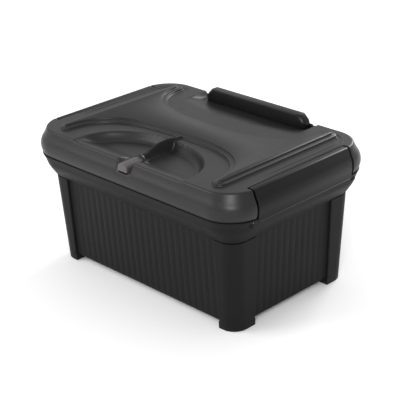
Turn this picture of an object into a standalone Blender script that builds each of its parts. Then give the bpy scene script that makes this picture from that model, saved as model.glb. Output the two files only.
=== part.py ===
"""Clip-lid battery box: a moulded tub, a hinged lid, two end clips and a battery hold-down.

Metres, +Z up.  The long side runs along X, the front (latch side) faces -Y, and the
origin is the middle of the box on the ground.
"""
import math

import bmesh
import bpy
from mathutils import Matrix, Vector

# Overall sizes
LENGTH = 0.500                 # over the lid's widest line, along X
DEPTH = 0.342                  # over the lid's widest line, along Y
TUB_HEIGHT = 0.2085            # ground to the tub's rim, where the lid parts from it
LID_RISE = 0.0465              # tub rim to the lid's top edge

# Clearances between pieces
GAP = 0.0003                   # pieces that rest on or beside each other
RUNNING_GAP = 0.0004           # moving pieces
CLIP_GAP = 0.0006              # clip lip to lid
SAME_POINT = 0.000005          # points closer than this are one point

# Tub
WALL = 0.0035
FLOOR = 0.004
FOOT_HEIGHT = 0.0115
WALL_DRAFT = 0.048             # inward run of the walls per metre of depth
CORNER_RADIUS = 0.056          # in plan, at the rim and the lid's widest line
POST_RADIUS = 0.027            # in plan, at the corner posts
POST_WIDTH_X = 0.044
POST_WIDTH_Y = 0.055
PANEL_RECESS = 0.005           # the side panels lie this far behind the posts
COLLAR_OVERHANG = 0.0255       # collar beyond the post tops
COLLAR_BAND = 0.0165           # upright part of the collar
COLLAR_CHAMFER = 0.028         # sloping part of the collar
RIM_INSET = 0.0015             # rim edge inside the lid's widest line
COLLAR_SKIN = 0.003

# Lid
LID_SKIN = 0.003
LID_BAND = 0.0147              # lower edge to the widest line
LID_GAP = 0.0008               # lower edge above the tub's rim
LID_TUCK = 0.0030              # lower edge inside the widest line
LID_SHOULDER = 0.009           # top edge inside the widest line
TOP_RADIUS = 0.0555            # top edge's radius in plan
PLATEAU_STEP = 0.0038          # each of the two steps
PLATEAU_INSET_X = 0.052        # lower step's end, in from the widest line
PLATEAU_INSET_Y = 0.028
PLATEAU_TREAD = 0.008
PLATEAU_WAIST = 0.036          # waist's edges, from the middle
BAY_HALF_X = 0.174             # half width of the bays beside the waist
BAY_MARGIN = 0.021             # middle line of the bays, in from the widest line
BAY_POWER = 2.8                # 2 is an ellipse; higher is squarer
BAY_MOUTH = 0.006              # depth of the straight mouth of each bay
BAY_STEPS = 10
NOSE_SHARE = 0.47              # corner rounding beside a bay, as a share of what is left there

# Finger wells and rear scoop in the lid
WELL_HALF_WIDTH = 0.133
WELL_DEPTH = 0.019
WELL_REAR = 0.056              # rear edge of the wells, from the middle
SCOOP_HALF_WIDTH = 0.135
SCOOP_DEPTH = 0.009
SCOOP_FRONT = 0.078
RIDGE_RISE = 0.0085            # crest of the ridge above the lid's top edge
RIDGE_HALF_WIDTH = 0.006
RIDGE_DIP = 0.006              # fall of the crest towards the latch
RIDGE_STEPS = 8
WELL_SPINE = 0.003             # half the flat left between the two wells

# End clips
CLIP_END_SPARE = 0.003         # clip end to the start of the corner
CLIP_WINDOW_GAP = 0.0042       # clip end to the lid
CLIP_LIP = 0.0135              # reach of the lip over the lid's end
CLIP_SKIN = 0.0032
CLIP_PIN_DROP = 0.004          # pin axis below the rim
CLIP_PIN_INSET = 0.005         # pin axis inside the lid's widest line
CLIP_PIN_RADIUS = 0.0016
CLIP_KNUCKLE = 0.0036          # outer radius of the clip's hinge bead

# Rear hinge and grip bar
HINGE_HALF_LENGTH = 0.122
HINGE_PIN_INSET = 0.003        # pin axis inside the lid's widest line
HINGE_PIN_RISE = 0.0014        # pin axis above the rim
HINGE_PIN_RADIUS = 0.0014
HINGE_KNUCKLE = 0.0030
HINGE_EAR = 0.009              # width of each ear on the tub
LEAF_PAD = 0.0095              # thickness of the leaf's flat back
BAR_LENGTH = 0.236
BAR_DEPTH = 0.019
BAR_SINK = 0.0085             # seat below the lid's top edge
BAR_RISE = 0.015               # bar top above the lid's top edge
BAR_CHAMFER = 0.011
BAR_SKIN = 0.003

# Latch
BUTTON_WIDTH = 0.022
BUTTON_LENGTH = 0.035
BUTTON_HEIGHT = 0.015
BUTTON_DROP = 0.004            # button top below the lid's top edge
BUTTON_TRAVEL = 0.003
BUTTON_SKIN = 0.0024
STEM_SIZE = 0.005
LATCH_BLOCK_HALF = 0.021
LATCH_BLOCK_FLOOR = 0.009      # thickness under the button's pocket
PAWL_HEIGHT = 0.006
PAWL_WIDTH = 0.016
PAWL_LENGTH = 0.020
TRAY_SKIN = 0.002
KEEPER_WIDTH = 0.020
KEEPER_THICK = 0.003

# Inside
MAT_THICK = 0.003
MAT_MARGIN = 0.022
GASKET_WIDTH = 0.0045
GASKET_HEIGHT = 0.0032
BATTERY_HEIGHT = 0.190         # case height the hold-down is set for
HOLD_BAR_WIDTH = 0.026
HOLD_BAR_THICK = 0.010
ROD_RADIUS = 0.003
ROD_WALL_GAP = 0.015           # rod axis to the tub's end wall at the floor
ROD_SPARE = 0.019              # rod above the bar
BOSS_RADIUS = 0.0086
BOSS_HEIGHT = 0.016
WASHER_RADIUS = 0.0085
WASHER_THICK = 0.0015
NUT_RADIUS = 0.006
NUT_HEIGHT = 0.007
WING_SPAN = 0.016
WING_THICK = 0.0024

# Glands and vent in the rear wall
GLAND_DROP = 0.076             # gland axis below the rim
GLAND_MARGIN = 0.030           # gland axis in from the post
GLAND_THREAD = 0.0080
GLAND_BORE = 0.0050
GLAND_HEX = 0.0120
WALL_BOSS_RADIUS = 0.0165
WALL_BOSS_PROUD = 0.0012
VENT_THREAD = 0.0100
VENT_CAP = 0.0150

HALF_L = LENGTH / 2
HALF_D = DEPTH / 2
LID_TOP = TUB_HEIGHT + LID_RISE
LID_BOTTOM = TUB_HEIGHT + LID_GAP
WIDEST = LID_BOTTOM + LID_BAND
CLIP_HALF = HALF_D - CORNER_RADIUS - CLIP_END_SPARE
WINDOW_HALF = CLIP_HALF + CLIP_WINDOW_GAP
CLIP_OUTER_TOP = HALF_L - LID_SHOULDER
WINDOW_X = CLIP_OUTER_TOP - CLIP_LIP
REAR_WINDOW = HINGE_HALF_LENGTH + HINGE_EAR + 0.004
REAR_WINDOW_Y = HALF_D - LEAF_PAD + GAP
POST_TOP = TUB_HEIGHT - COLLAR_BAND - COLLAR_CHAMFER
POST_X = HALF_L - COLLAR_OVERHANG
POST_Y = HALF_D - COLLAR_OVERHANG
FLOOR_TOP = FOOT_HEIGHT + FLOOR
ARC_STEPS = 5


# Small helpers -------------------------------------------------------------------

def clear_scene():
    for item in list(bpy.data.objects):
        bpy.data.objects.remove(item, do_unlink=True)


def material(name, color, roughness, metallic=0.0):
    made = bpy.data.materials.new(name)
    made.use_nodes = True
    shader = made.node_tree.nodes["Principled BSDF"]
    shader.inputs["Base Color"].default_value = (*color, 1.0)
    shader.inputs["Roughness"].default_value = roughness
    shader.inputs["Metallic"].default_value = metallic
    return made


def add_object(name, mesh_builder, finish=None, origin=(0, 0, 0), smooth=None):
    """Make an object from a bmesh given in world coordinates, with its origin at a point."""
    offset = Vector(origin)
    bmesh.ops.translate(mesh_builder, verts=mesh_builder.verts, vec=-offset)
    bmesh.ops.recalc_face_normals(mesh_builder, faces=mesh_builder.faces)
    mesh = bpy.data.meshes.new(name)
    mesh_builder.to_mesh(mesh)
    mesh_builder.free()
    if smooth:
        mesh.shade_smooth()
        mesh.set_sharp_from_angle(angle=math.radians(smooth))
    made = bpy.data.objects.new(name, mesh)
    made.location = offset
    bpy.context.scene.collection.objects.link(made)
    if finish:
        mesh.materials.append(finish)
    return made


def boolean(target, tool, operation):
    """Cut or join with a hidden tool object."""
    tool.hide_render = True
    tool.display_type = "WIRE"
    step = target.modifiers.new(operation.title() + " " + tool.name, "BOOLEAN")
    step.object = tool
    step.operation = operation
    step.solver = "EXACT"


def join_all(target, tools):
    for tool in tools:
        boolean(target, tool, "UNION")


def cut_all(target, tools):
    for tool in tools:
        boolean(target, tool, "DIFFERENCE")


def box(low, high):
    """A block between two corners."""
    made = bmesh.new()
    bmesh.ops.create_cube(made, size=1.0)
    size = Vector(high) - Vector(low)
    middle = (Vector(high) + Vector(low)) / 2
    bmesh.ops.scale(made, verts=made.verts, vec=size)
    bmesh.ops.translate(made, verts=made.verts, vec=middle)
    return made


def loft(loops, closed_ring=False):
    """Join rings of points, in order, into one skin; ends are capped unless it is a ring."""
    made = bmesh.new()
    rings = [[made.verts.new(point) for point in loop] for loop in loops]
    pairs = list(zip(rings, rings[1:]))
    if closed_ring:
        pairs.append((rings[-1], rings[0]))
    for lower, upper in pairs:
        count = len(lower)
        for index in range(count):
            after = (index + 1) % count
            made.faces.new((lower[index], lower[after], upper[after], upper[index]))
    if not closed_ring:
        made.faces.new(rings[0][::-1])
        made.faces.new(rings[-1])
    bmesh.ops.remove_doubles(made, verts=made.verts, dist=SAME_POINT)
    return made


def prism(outline, start, end, axis):
    """Extrude an outline of two coordinates along X, Y or Z."""
    def place(point, along):
        if axis == "X":
            return (along, point[0], point[1])
        if axis == "Y":
            return (point[0], along, point[1])
        return (point[0], point[1], along)
    return loft([[place(point, start) for point in outline], [place(point, end) for point in outline]])


def turned(profile, centre, axis, steps=16, phase=0.0):
    """Turn a closed profile of (radius, along) about an axis through a centre."""
    turn = {"X": Matrix.Rotation(math.pi / 2, 4, "Y"),
            "Y": Matrix.Rotation(-math.pi / 2, 4, "X"),
            "Z": Matrix.Identity(4)}[axis]
    loops = []
    for radius, along in profile:
        ring = []
        for index in range(steps):
            angle = phase + 2 * math.pi * index / steps
            point = Vector((radius * math.cos(angle), radius * math.sin(angle), along))
            ring.append(turn @ point + Vector(centre))
        loops.append(ring)
    return loops


def turned_ring(profile, centre, axis, steps=16, phase=0.0):
    """A turned piece with a bore: the profile runs all the way round its section."""
    return loft(turned(profile, centre, axis, steps, phase), closed_ring=True)


def turned_solid(profile, centre, axis, steps=16, phase=0.0):
    """A turned piece without a bore: the profile runs from end to end."""
    return loft(turned(profile, centre, axis, steps, phase))


def cylinder(radius, start, end, axis, steps=16, phase=0.0):
    """A round bar between two points on a line along an axis."""
    middle = list(start)
    return turned_solid([(radius, 0.0), (radius, end["XYZ".index(axis)] - start["XYZ".index(axis)])],
                        middle, axis, steps, phase)


def arc(centre, radius, first, last, steps):
    """Points on an arc, in degrees."""
    points = []
    for index in range(steps + 1):
        angle = math.radians(first + (last - first) * index / steps)
        points.append((centre[0] + radius * math.cos(angle), centre[1] + radius * math.sin(angle)))
    return points


def smoothstep(value):
    value = max(0.0, min(1.0, value))
    return value * value * (3 - 2 * value)


# Outlines in plan -----------------------------------------------------------------

def corner(half_x, half_y, radius, side_y, side_x):
    """Points round the corner at +X +Y, between a point of the end and one of the long side."""
    radius = min(radius, half_x * 0.9, half_y * 0.9)
    from_end = max(0.0, side_y - (half_y - radius)) / radius
    from_side = max(0.0, side_x - (half_x - radius)) / radius
    first = math.degrees(math.asin(min(1.0, from_end)))
    last = 90 - math.degrees(math.asin(min(1.0, from_side)))
    points = arc((half_x - radius, half_y - radius), radius, first, last, ARC_STEPS)
    if side_y < half_y - radius:
        points = [(half_x, side_y)] + points
    else:
        points = [points[0]] + points
    if side_x < half_x - radius:
        return points + [(side_x, half_y)]
    return points + [points[-1]]


def outline(half_x, half_y, radius, z, end_half, end_x, side_half, rear_y, front_y):
    """A rounded rectangle whose ends and long sides may step in over part of their length.

    end_half and end_x give the stepped stretch of both ends; side_half with rear_y and
    front_y gives that of the long sides.  The point count never changes.
    """
    quarter = corner(half_x, half_y, radius, end_half, side_half)
    edge_x, edge_y = quarter[0]
    top_x, top_y = quarter[-1]
    end_x = min(end_x, edge_x)
    rear_y = min(rear_y, top_y)
    front_y = min(front_y, top_y)
    points = [(end_x, -edge_y), (end_x, edge_y)]
    points += quarter
    points += [(top_x, rear_y), (-top_x, rear_y)]
    points += [(-x, y) for x, y in reversed(quarter)]
    points += [(-end_x, edge_y), (-end_x, -edge_y)]
    points += [(-x, -y) for x, y in quarter]
    points += [(-top_x, -front_y), (top_x, -front_y)]
    points += [(x, -y) for x, y in reversed(quarter)]
    return [(x, y, z) for x, y in points]


# Tub ------------------------------------------------------------------------------

def post_inset(z):
    """Inward run of the walls at a height, from the post tops down."""
    return (POST_TOP - z) * WALL_DRAFT


def wall_outline(z, recess, inset=0.0):
    """The tub's wall with its four corner posts standing proud of the panels."""
    half_x = POST_X - post_inset(z) - inset
    half_y = POST_Y - post_inset(z) - inset
    return outline(half_x, half_y, POST_RADIUS, z,
                   HALF_D - COLLAR_OVERHANG - POST_WIDTH_Y, half_x - recess,
                   HALF_L - COLLAR_OVERHANG - POST_WIDTH_X, half_y - recess, half_y - recess)


def collar_outline(z, inset, radius=CORNER_RADIUS):
    """The collar, as a rounded rectangle inside the lid's widest line."""
    half_x = HALF_L - inset
    half_y = HALF_D - inset
    return outline(half_x, half_y, radius, z,
                   HALF_D - COLLAR_OVERHANG - POST_WIDTH_Y, half_x,
                   HALF_L - COLLAR_OVERHANG - POST_WIDTH_X, half_y, half_y)


def tub_loops():
    """Rings from the ground, up the outside, over the rim and down the inside."""
    chamfer_top = TUB_HEIGHT - COLLAR_BAND
    band_inset = RIM_INSET + 0.005
    lip_inset = COLLAR_OVERHANG
    shelf = TUB_HEIGHT - COLLAR_SKIN
    skirt = COLLAR_SKIN
    relief = skirt + 0.0012
    inner = PANEL_RECESS + WALL
    loops = [wall_outline(0.0, PANEL_RECESS, 0.0008),
             wall_outline(0.0012, PANEL_RECESS),
             wall_outline(POST_TOP - 0.0011, PANEL_RECESS),
             wall_outline(POST_TOP - 0.0006, PANEL_RECESS - relief + 0.0004, relief),
             wall_outline(shelf - 0.004, 0.0, PANEL_RECESS),
             collar_outline(shelf, RIM_INSET + skirt + 0.001, CORNER_RADIUS - skirt),
             collar_outline(chamfer_top, band_inset + skirt, CORNER_RADIUS - skirt),
             collar_outline(chamfer_top - 0.014, (band_inset + lip_inset) * 0.5 + skirt * 0.8, 0.042),
             collar_outline(POST_TOP, lip_inset + skirt, POST_RADIUS),
             collar_outline(POST_TOP, lip_inset, POST_RADIUS + 0.002),
             collar_outline(chamfer_top - 0.014, (band_inset + lip_inset) * 0.5 - 0.0022, 0.044),
             collar_outline(chamfer_top - 0.004, band_inset + 0.0012, 0.052),
             collar_outline(chamfer_top + 0.002, band_inset - 0.0006, CORNER_RADIUS - 0.002),
             collar_outline(TUB_HEIGHT - 0.002, RIM_INSET),
             collar_outline(TUB_HEIGHT, RIM_INSET + 0.0015),
             wall_outline(TUB_HEIGHT, 0.0, inner),
             wall_outline(FLOOR_TOP + 0.006, 0.0, inner),
             wall_outline(FLOOR_TOP, 0.0, inner + 0.006)]
    return loops


def wall_boss(x, z, radius):
    """A round pad through the rear wall, square to Y, that a fitting tightens against."""
    outer = panel_y(z) + WALL_BOSS_PROUD
    inner = panel_y(z) - WALL - WALL_BOSS_PROUD
    return cylinder(radius, (x, inner, z), (x, outer, z), "Y", 20)


def panel_y(z):
    """Distance of the rear panel's outer face from the middle."""
    return POST_Y - post_inset(z) - PANEL_RECESS


def gland_places():
    """The two glands and the vent: name, x, z and thread radius."""
    half = HALF_L - COLLAR_OVERHANG - POST_WIDTH_X - GLAND_MARGIN
    height = TUB_HEIGHT - GLAND_DROP
    return [("left", -half, height), ("right", half, height)]


def rod_x():
    floor_inset = post_inset(FLOOR_TOP) + PANEL_RECESS + WALL
    return POST_X - floor_inset - ROD_WALL_GAP


def clip_axis():
    """Pin axis of the right clip: x and z."""
    return HALF_L - CLIP_PIN_INSET, TUB_HEIGHT - CLIP_PIN_DROP


def hinge_axis():
    """Pin axis of the lid: y and z."""
    return HALF_D - HINGE_PIN_INSET, TUB_HEIGHT + HINGE_PIN_RISE


def keeper_span():
    """The keeper's front and back faces, behind the lid's front wall."""
    front = -(HALF_D - LID_TUCK - LID_SKIN - 0.0008)
    return front, front + KEEPER_THICK


def clip_pin_half():
    return WINDOW_HALF + 0.007


def tub_additions(side_pieces):
    """Bosses, ears and the latch keeper that belong to the tub's moulding."""
    pin_x, pin_z = clip_axis()
    hinge_y, hinge_z = hinge_axis()
    for side in (-1, 1):
        for end in (-1, 1):
            low = WINDOW_HALF * end
            high = (WINDOW_HALF + 0.009) * end
            side_pieces.append(box((min(side * (pin_x - 0.006), side * (pin_x + 0.0012)), min(low, high),
                                    TUB_HEIGHT - 0.013),
                                   (max(side * (pin_x - 0.006), side * (pin_x + 0.0012)), max(low, high),
                                    TUB_HEIGHT - 0.0015)))
    for end in (-1, 1):
        low = (HINGE_HALF_LENGTH + RUNNING_GAP * 2) * end
        high = (HINGE_HALF_LENGTH + HINGE_EAR) * end
        ear = arc((hinge_y, hinge_z), HINGE_KNUCKLE, 0, 180, 8)
        ear += [(hinge_y - HINGE_KNUCKLE, TUB_HEIGHT - 0.006), (hinge_y + 0.0005, TUB_HEIGHT - 0.006)]
        side_pieces.append(prism(ear, min(low, high), max(low, high), "X"))
        side_pieces.append(cylinder(BOSS_RADIUS, (end * rod_x(), 0, FLOOR_TOP - 0.002),
                                    (end * rod_x(), 0, FLOOR_TOP + BOSS_HEIGHT), "Z", 20))
    for _, x, z in gland_places():
        side_pieces.append(wall_boss(x, z, WALL_BOSS_RADIUS))
    side_pieces.append(wall_boss(0.0, TUB_HEIGHT - GLAND_DROP, WALL_BOSS_RADIUS + 0.002))
    front, back = keeper_span()
    side_pieces.append(box((-KEEPER_WIDTH / 2, front, TUB_HEIGHT - 0.001),
                           (KEEPER_WIDTH / 2, back, keeper_top())))


def tub_cuts(cuts):
    """Space between the feet, clip and hinge pockets, and every hole."""
    post_x = HALF_L - COLLAR_OVERHANG - POST_WIDTH_X
    post_y = HALF_D - COLLAR_OVERHANG - POST_WIDTH_Y
    cuts.append(box((-post_x, -DEPTH, -0.01), (post_x, DEPTH, FOOT_HEIGHT)))
    cuts.append(box((-LENGTH, -post_y, -0.01), (LENGTH, post_y, FOOT_HEIGHT - 0.0001)))
    pin_x, pin_z = clip_axis()
    hinge_y, hinge_z = hinge_axis()
    for side in (-1, 1):
        near = side * (pin_x - CLIP_KNUCKLE - 0.0012)
        far = side * (HALF_L + 0.01)
        cuts.append(box((min(near, far), -CLIP_HALF - 0.0022, pin_z - CLIP_KNUCKLE - 0.0012),
                        (max(near, far), CLIP_HALF + 0.0022, TUB_HEIGHT + 0.01)))
        half = clip_pin_half()
        cuts.append(cylinder(CLIP_PIN_RADIUS + GAP, (side * pin_x, -half, pin_z),
                             (side * pin_x, half, pin_z), "Y", 12))
    cuts.append(box((-HINGE_HALF_LENGTH - 0.0008, hinge_y - HINGE_KNUCKLE - 0.001,
                     hinge_z - HINGE_KNUCKLE - 0.0008),
                    (HINGE_HALF_LENGTH + 0.0008, HALF_D + 0.01, TUB_HEIGHT + 0.01)))
    cuts.append(cylinder(HINGE_PIN_RADIUS + GAP, (-HINGE_HALF_LENGTH - HINGE_EAR - 0.002, hinge_y, hinge_z),
                         (HINGE_HALF_LENGTH + HINGE_EAR + 0.002, hinge_y, hinge_z), "X", 12))
    for _, x, z in gland_places():
        cuts.append(cylinder(GLAND_THREAD + GAP, (x, panel_y(z) - 0.03, z), (x, panel_y(z) + 0.03, z),
                             "Y", 20))
    z = TUB_HEIGHT - GLAND_DROP
    cuts.append(cylinder(VENT_THREAD + GAP, (0, panel_y(z) - 0.03, z), (0, panel_y(z) + 0.03, z), "Y", 20))
    for side in (-1, 1):
        cuts.append(cylinder(ROD_RADIUS + GAP, (side * rod_x(), 0, FLOOR_TOP + 0.003),
                             (side * rod_x(), 0, FLOOR_TOP + BOSS_HEIGHT + 0.01), "Z", 12))
    front, back = keeper_span()
    cuts.append(box((-PAWL_WIDTH / 2 - 0.001, front + 0.001, pawl_bottom() - 0.001),
                    (PAWL_WIDTH / 2 + 0.001, back + 0.01, pawl_top() + 0.001)))


def make_tub(finish):
    tub = add_object("tub_shell", loft(tub_loops()), finish, smooth=30)
    additions = []
    tub_additions(additions)
    join_all(tub, [add_object("tub_join_%d" % i, piece) for i, piece in enumerate(additions)])
    cuts = []
    tub_cuts(cuts)
    cut_all(tub, [add_object("tub_cut_%d" % i, piece) for i, piece in enumerate(cuts)])
    return tub


# Lid ------------------------------------------------------------------------------

def lid_outline(z, inset, radius, skin=0.0):
    """The lid in plan with its end windows for the clips and its rear window for the hinge."""
    half_x = HALF_L - inset - skin
    half_y = HALF_D - inset - skin
    return outline(half_x, half_y, radius, z, min(WINDOW_HALF + skin, half_y - 0.02), WINDOW_X - skin,
                   min(REAR_WINDOW + skin, half_x - 0.06), REAR_WINDOW_Y - skin, half_y)


def lid_loops():
    """Rings from the top, down the outside of the skirt and back up inside."""
    skirt = [(LID_TOP, LID_SHOULDER + 0.0030, TOP_RADIUS), (LID_TOP - 0.0008, LID_SHOULDER + 0.0010,
                                                            TOP_RADIUS),
             (LID_TOP - 0.0028, LID_SHOULDER - 0.0004, TOP_RADIUS), (LID_TOP - 0.012, LID_SHOULDER * 0.60,
                                                                     CORNER_RADIUS),
             (WIDEST + 0.008, 0.0012, CORNER_RADIUS), (WIDEST, 0.0, CORNER_RADIUS),
             (WIDEST - 0.007, 0.0006, CORNER_RADIUS), (LID_BOTTOM + 0.003, LID_TUCK * 0.65, CORNER_RADIUS),
             (LID_BOTTOM, LID_TUCK, CORNER_RADIUS)]
    loops = [lid_outline(z, inset, radius) for z, inset, radius in skirt]
    inner_radius = CORNER_RADIUS - LID_SKIN
    inner = [(LID_BOTTOM, LID_TUCK), (WIDEST, 0.0), (LID_TOP - 0.0135, LID_SHOULDER * 0.62),
             (LID_TOP - LID_SKIN, LID_SHOULDER + 0.0006)]
    loops += [lid_outline(z, inset, inner_radius, LID_SKIN) for z, inset in inner]
    return loops


def bowl(centre_x, centre_y, half_x, half_y, depth, rear, thicken=0.0):
    """A dish-shaped solid hanging from just under the lid's top face, or the tool that hollows it.

    It ends at rear, its furthest Y.
    """
    made = bmesh.new()
    bmesh.ops.create_uvsphere(made, u_segments=20, v_segments=10, radius=1.0)
    bmesh.ops.scale(made, verts=made.verts, vec=(half_x + thicken, half_y + thicken, depth + thicken))
    bmesh.ops.translate(made, verts=made.verts, vec=(centre_x, centre_y, LID_TOP))
    height = LID_TOP - LID_SKIN / 3 if thicken else LID_TOP + depth * 0.5
    slice_off(made, (0, 0, height), (0, 0, 1))
    if rear < centre_y + half_y:
        slice_off(made, (0, rear, 0), (0, 1, 0))
    return made


def slice_off(made, point, normal):
    """Cut away what lies beyond a plane and close the cut."""
    cut = bmesh.ops.bisect_plane(made, geom=made.verts[:] + made.edges[:] + made.faces[:], dist=SAME_POINT,
                                 plane_co=point, plane_no=normal, clear_outer=True)
    edges = [item for item in cut["geom_cut"] if isinstance(item, bmesh.types.BMEdge)]
    bmesh.ops.holes_fill(made, edges=edges, sides=0)


def dishes(thicken=0.0):
    """The two finger wells and the shallow scoop before the grip bar."""
    front = -(HALF_D - LID_SHOULDER - 0.0025)
    well_y = (front - WELL_REAR) / 2
    well_half = (WELL_HALF_WIDTH - WELL_SPINE) / 2
    well_x = WELL_SPINE + well_half
    scoop_y = bar_front()
    scoop_end = bar_front() + (LID_SKIN / 2 if thicken else LID_SKIN / 4)
    return [bowl(-well_x, well_y, well_half, -WELL_REAR - well_y, WELL_DEPTH, 0.0, thicken),
            bowl(well_x, well_y, well_half, -WELL_REAR - well_y, WELL_DEPTH, 0.0, thicken),
            bowl(0.0, scoop_y, SCOOP_HALF_WIDTH, scoop_y - SCOOP_FRONT, SCOOP_DEPTH, scoop_end, thicken)]


def bar_seat(low, high, margin):
    """The sunken seat of the grip bar, or the block under it."""
    half = BAR_LENGTH / 2 + margin
    return box((-half, bar_front() - margin, low), (half, bar_back() + min(margin, GAP), high))


def plateau_outline(offset):
    """A rounded rectangle with a squarish bay, a superellipse, bitten out of each long side."""
    half_x = HALF_L - PLATEAU_INSET_X - offset
    half_y = HALF_D - PLATEAU_INSET_Y - offset
    centre = HALF_D - BAY_MARGIN
    bay_x = BAY_HALF_X + offset
    bay_y = centre - PLATEAU_WAIST + offset
    cross = bay_x * (1 - ((centre - half_y + BAY_MOUTH) / bay_y) ** BAY_POWER) ** (1 / BAY_POWER)
    nose = (half_x - cross) * NOSE_SHARE
    quarter = arc((half_x - nose, half_y - nose), nose, 0, 90, ARC_STEPS)
    first = math.acos((cross / bay_x) ** (BAY_POWER / 2))
    bay = []
    for index in range(BAY_STEPS + 1):
        angle = first + (math.pi / 2 - first) * index / BAY_STEPS
        across = max(0.0, math.cos(angle)) ** (2 / BAY_POWER)
        bay.append((bay_x * across, centre - bay_y * math.sin(angle) ** (2 / BAY_POWER)))
    side = quarter + bay
    half = side + [(-x, y) for x, y in reversed(side[:-1])]
    return half + [(-x, -y) for x, y in side] + [(x, -y) for x, y in reversed(side[:-1])]


def plateau_block(bottom, first_top, second_top, shrink=0.0):
    """Two stacked steps with the plateau's outline."""
    lower = plateau_outline(shrink)
    upper = plateau_outline(PLATEAU_TREAD + shrink)
    return loft([[(x, y, bottom) for x, y in lower], [(x, y, first_top) for x, y in lower],
                 [(x, y, first_top) for x, y in upper], [(x, y, second_top) for x, y in upper]])


def ridge_rib():
    """The crest between the finger wells, rising from the latch to the plateau's waist."""
    rear = -PLATEAU_WAIST + 0.004
    front = latch_rear() + 0.014
    loops = []
    for index in range(RIDGE_STEPS + 1):
        part = index / RIDGE_STEPS
        y = front + (rear - front) * part
        swell = RIDGE_RISE * math.sin(math.pi * (0.05 + 0.6 * part))
        crest = LID_TOP - RIDGE_DIP * (1 - smoothstep(part / 0.4)) + swell
        foot = LID_TOP - LID_SKIN * 0.6
        crest = max(crest, foot + 0.0022)
        loops.append([(-RIDGE_HALF_WIDTH, y, foot), (RIDGE_HALF_WIDTH, y, foot),
                      (RIDGE_HALF_WIDTH * 0.25, y, crest), (-RIDGE_HALF_WIDTH * 0.25, y, crest)])
    return loft(loops)


def button_top():
    return LID_TOP - BUTTON_DROP


def button_bottom():
    return button_top() - BUTTON_HEIGHT


def button_front():
    return -(HALF_D - 0.0015)


def latch_rear():
    return button_front() + BUTTON_LENGTH + RUNNING_GAP


def pocket_floor():
    return button_bottom() - BUTTON_TRAVEL - 0.0005


def block_bottom():
    return pocket_floor() - LATCH_BLOCK_FLOOR


def pawl_top():
    return block_bottom() - RUNNING_GAP


def pawl_bottom():
    return pawl_top() - PAWL_HEIGHT


def keeper_top():
    return pawl_top() + 0.002


def stem_y():
    return button_front() + 0.024


def latch_block():
    """Thickened lid moulding that holds the latch, with a low dome behind the button."""
    _, keeper_back = keeper_span()
    front = -(HALF_D - LID_TUCK - 0.001)
    behind_keeper = keeper_back + RUNNING_GAP * 2
    rear = latch_rear() + 0.014
    top = LID_TOP - LID_SKIN / 2
    ledge = keeper_top() + 0.0015
    section = [(front, top), (front, ledge), (behind_keeper, ledge), (behind_keeper, block_bottom()),
               (rear, block_bottom()), (rear, top)]
    return prism(section, -LATCH_BLOCK_HALF, LATCH_BLOCK_HALF, "X")


def latch_dome():
    """The rounded hump between the button and the ridge."""
    made = bmesh.new()
    bmesh.ops.create_uvsphere(made, u_segments=16, v_segments=8, radius=1.0)
    bmesh.ops.scale(made, verts=made.verts, vec=(0.0125, 0.0145, 0.0160))
    bmesh.ops.translate(made, verts=made.verts, vec=(0, latch_rear() + 0.0085, LID_TOP - 0.0165))
    return made


def latch_cheeks():
    """Low side walls that frame the button's pocket."""
    half = BUTTON_WIDTH / 2 + 0.0045
    return box((-half, -(HALF_D - 0.0075), block_bottom() + 0.007),
               (half, latch_rear() + 0.004, LID_TOP - 0.0095))


def make_lid(finish):
    lid = add_object("lid_shell", loft(lid_loops()), finish, smooth=30)
    base = LID_TOP - LID_SKIN / 2
    first = LID_TOP + PLATEAU_STEP
    second = first + PLATEAU_STEP
    seat = bar_seat_top()
    dish_shells = dishes(LID_SKIN) + [bar_seat(seat - LID_SKIN, base, LID_SKIN), latch_block()]
    join_all(lid, [add_object("lid_dish_%d" % i, piece) for i, piece in enumerate(dish_shells)])
    hollows = dishes() + [bar_seat(seat, LID_TOP + 0.02, GAP)]
    cut_all(lid, [add_object("lid_hollow_%d" % i, piece) for i, piece in enumerate(hollows)])
    joins = [plateau_block(base, first, second), ridge_rib(), latch_cheeks(), latch_dome()]
    join_all(lid, [add_object("lid_join_%d" % i, piece) for i, piece in enumerate(joins)])
    cuts = [plateau_block(LID_TOP - 0.02, first - LID_SKIN, second - LID_SKIN, LID_SKIN)]
    half = BUTTON_WIDTH / 2 + RUNNING_GAP
    cuts.append(box((-half, -HALF_D - 0.01, pocket_floor()), (half, latch_rear(), LID_TOP + 0.02)))
    stem = STEM_SIZE / 2 + RUNNING_GAP
    cuts.append(box((-stem, stem_y() - stem, block_bottom() - 0.01), (stem, stem_y() + stem,
                                                                      pocket_floor() + 0.005)))
    for side in (-1, 1):
        cuts.append(cylinder(0.0012, (side * tray_screw_x(), stem_y(), block_bottom() - 0.01),
                             (side * tray_screw_x(), stem_y(), block_bottom() + 0.0065), "Z", 10))
    for x in bar_screw_x():
        cuts.append(cylinder(0.0015, (x, bar_middle(), seat - 0.02), (x, bar_middle(), seat + 0.01), "Z",
                             10))
        z = leaf_screw_z()
        cuts.append(cylinder(0.0015, (x, HALF_D - 0.03, z), (x, HALF_D + 0.01, z), "Y", 10))
    cut_all(lid, [add_object("lid_cut_%d" % i, piece) for i, piece in enumerate(cuts)])
    return lid


# Rear hinge leaf and grip bar --------------------------------------------------------

def bar_screw_x():
    third = BAR_LENGTH / 2 - 0.030
    return (-third, 0.0, third)


def bar_back():
    return HALF_D - LID_SHOULDER - 0.0015


def bar_front():
    return bar_back() - BAR_DEPTH


def bar_middle():
    return (bar_back() + bar_front()) / 2


def bar_top():
    return LID_TOP + BAR_RISE


def leaf_screw_z():
    return WIDEST + 0.006


def bar_seat_top():
    return LID_TOP - BAR_SINK


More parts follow.
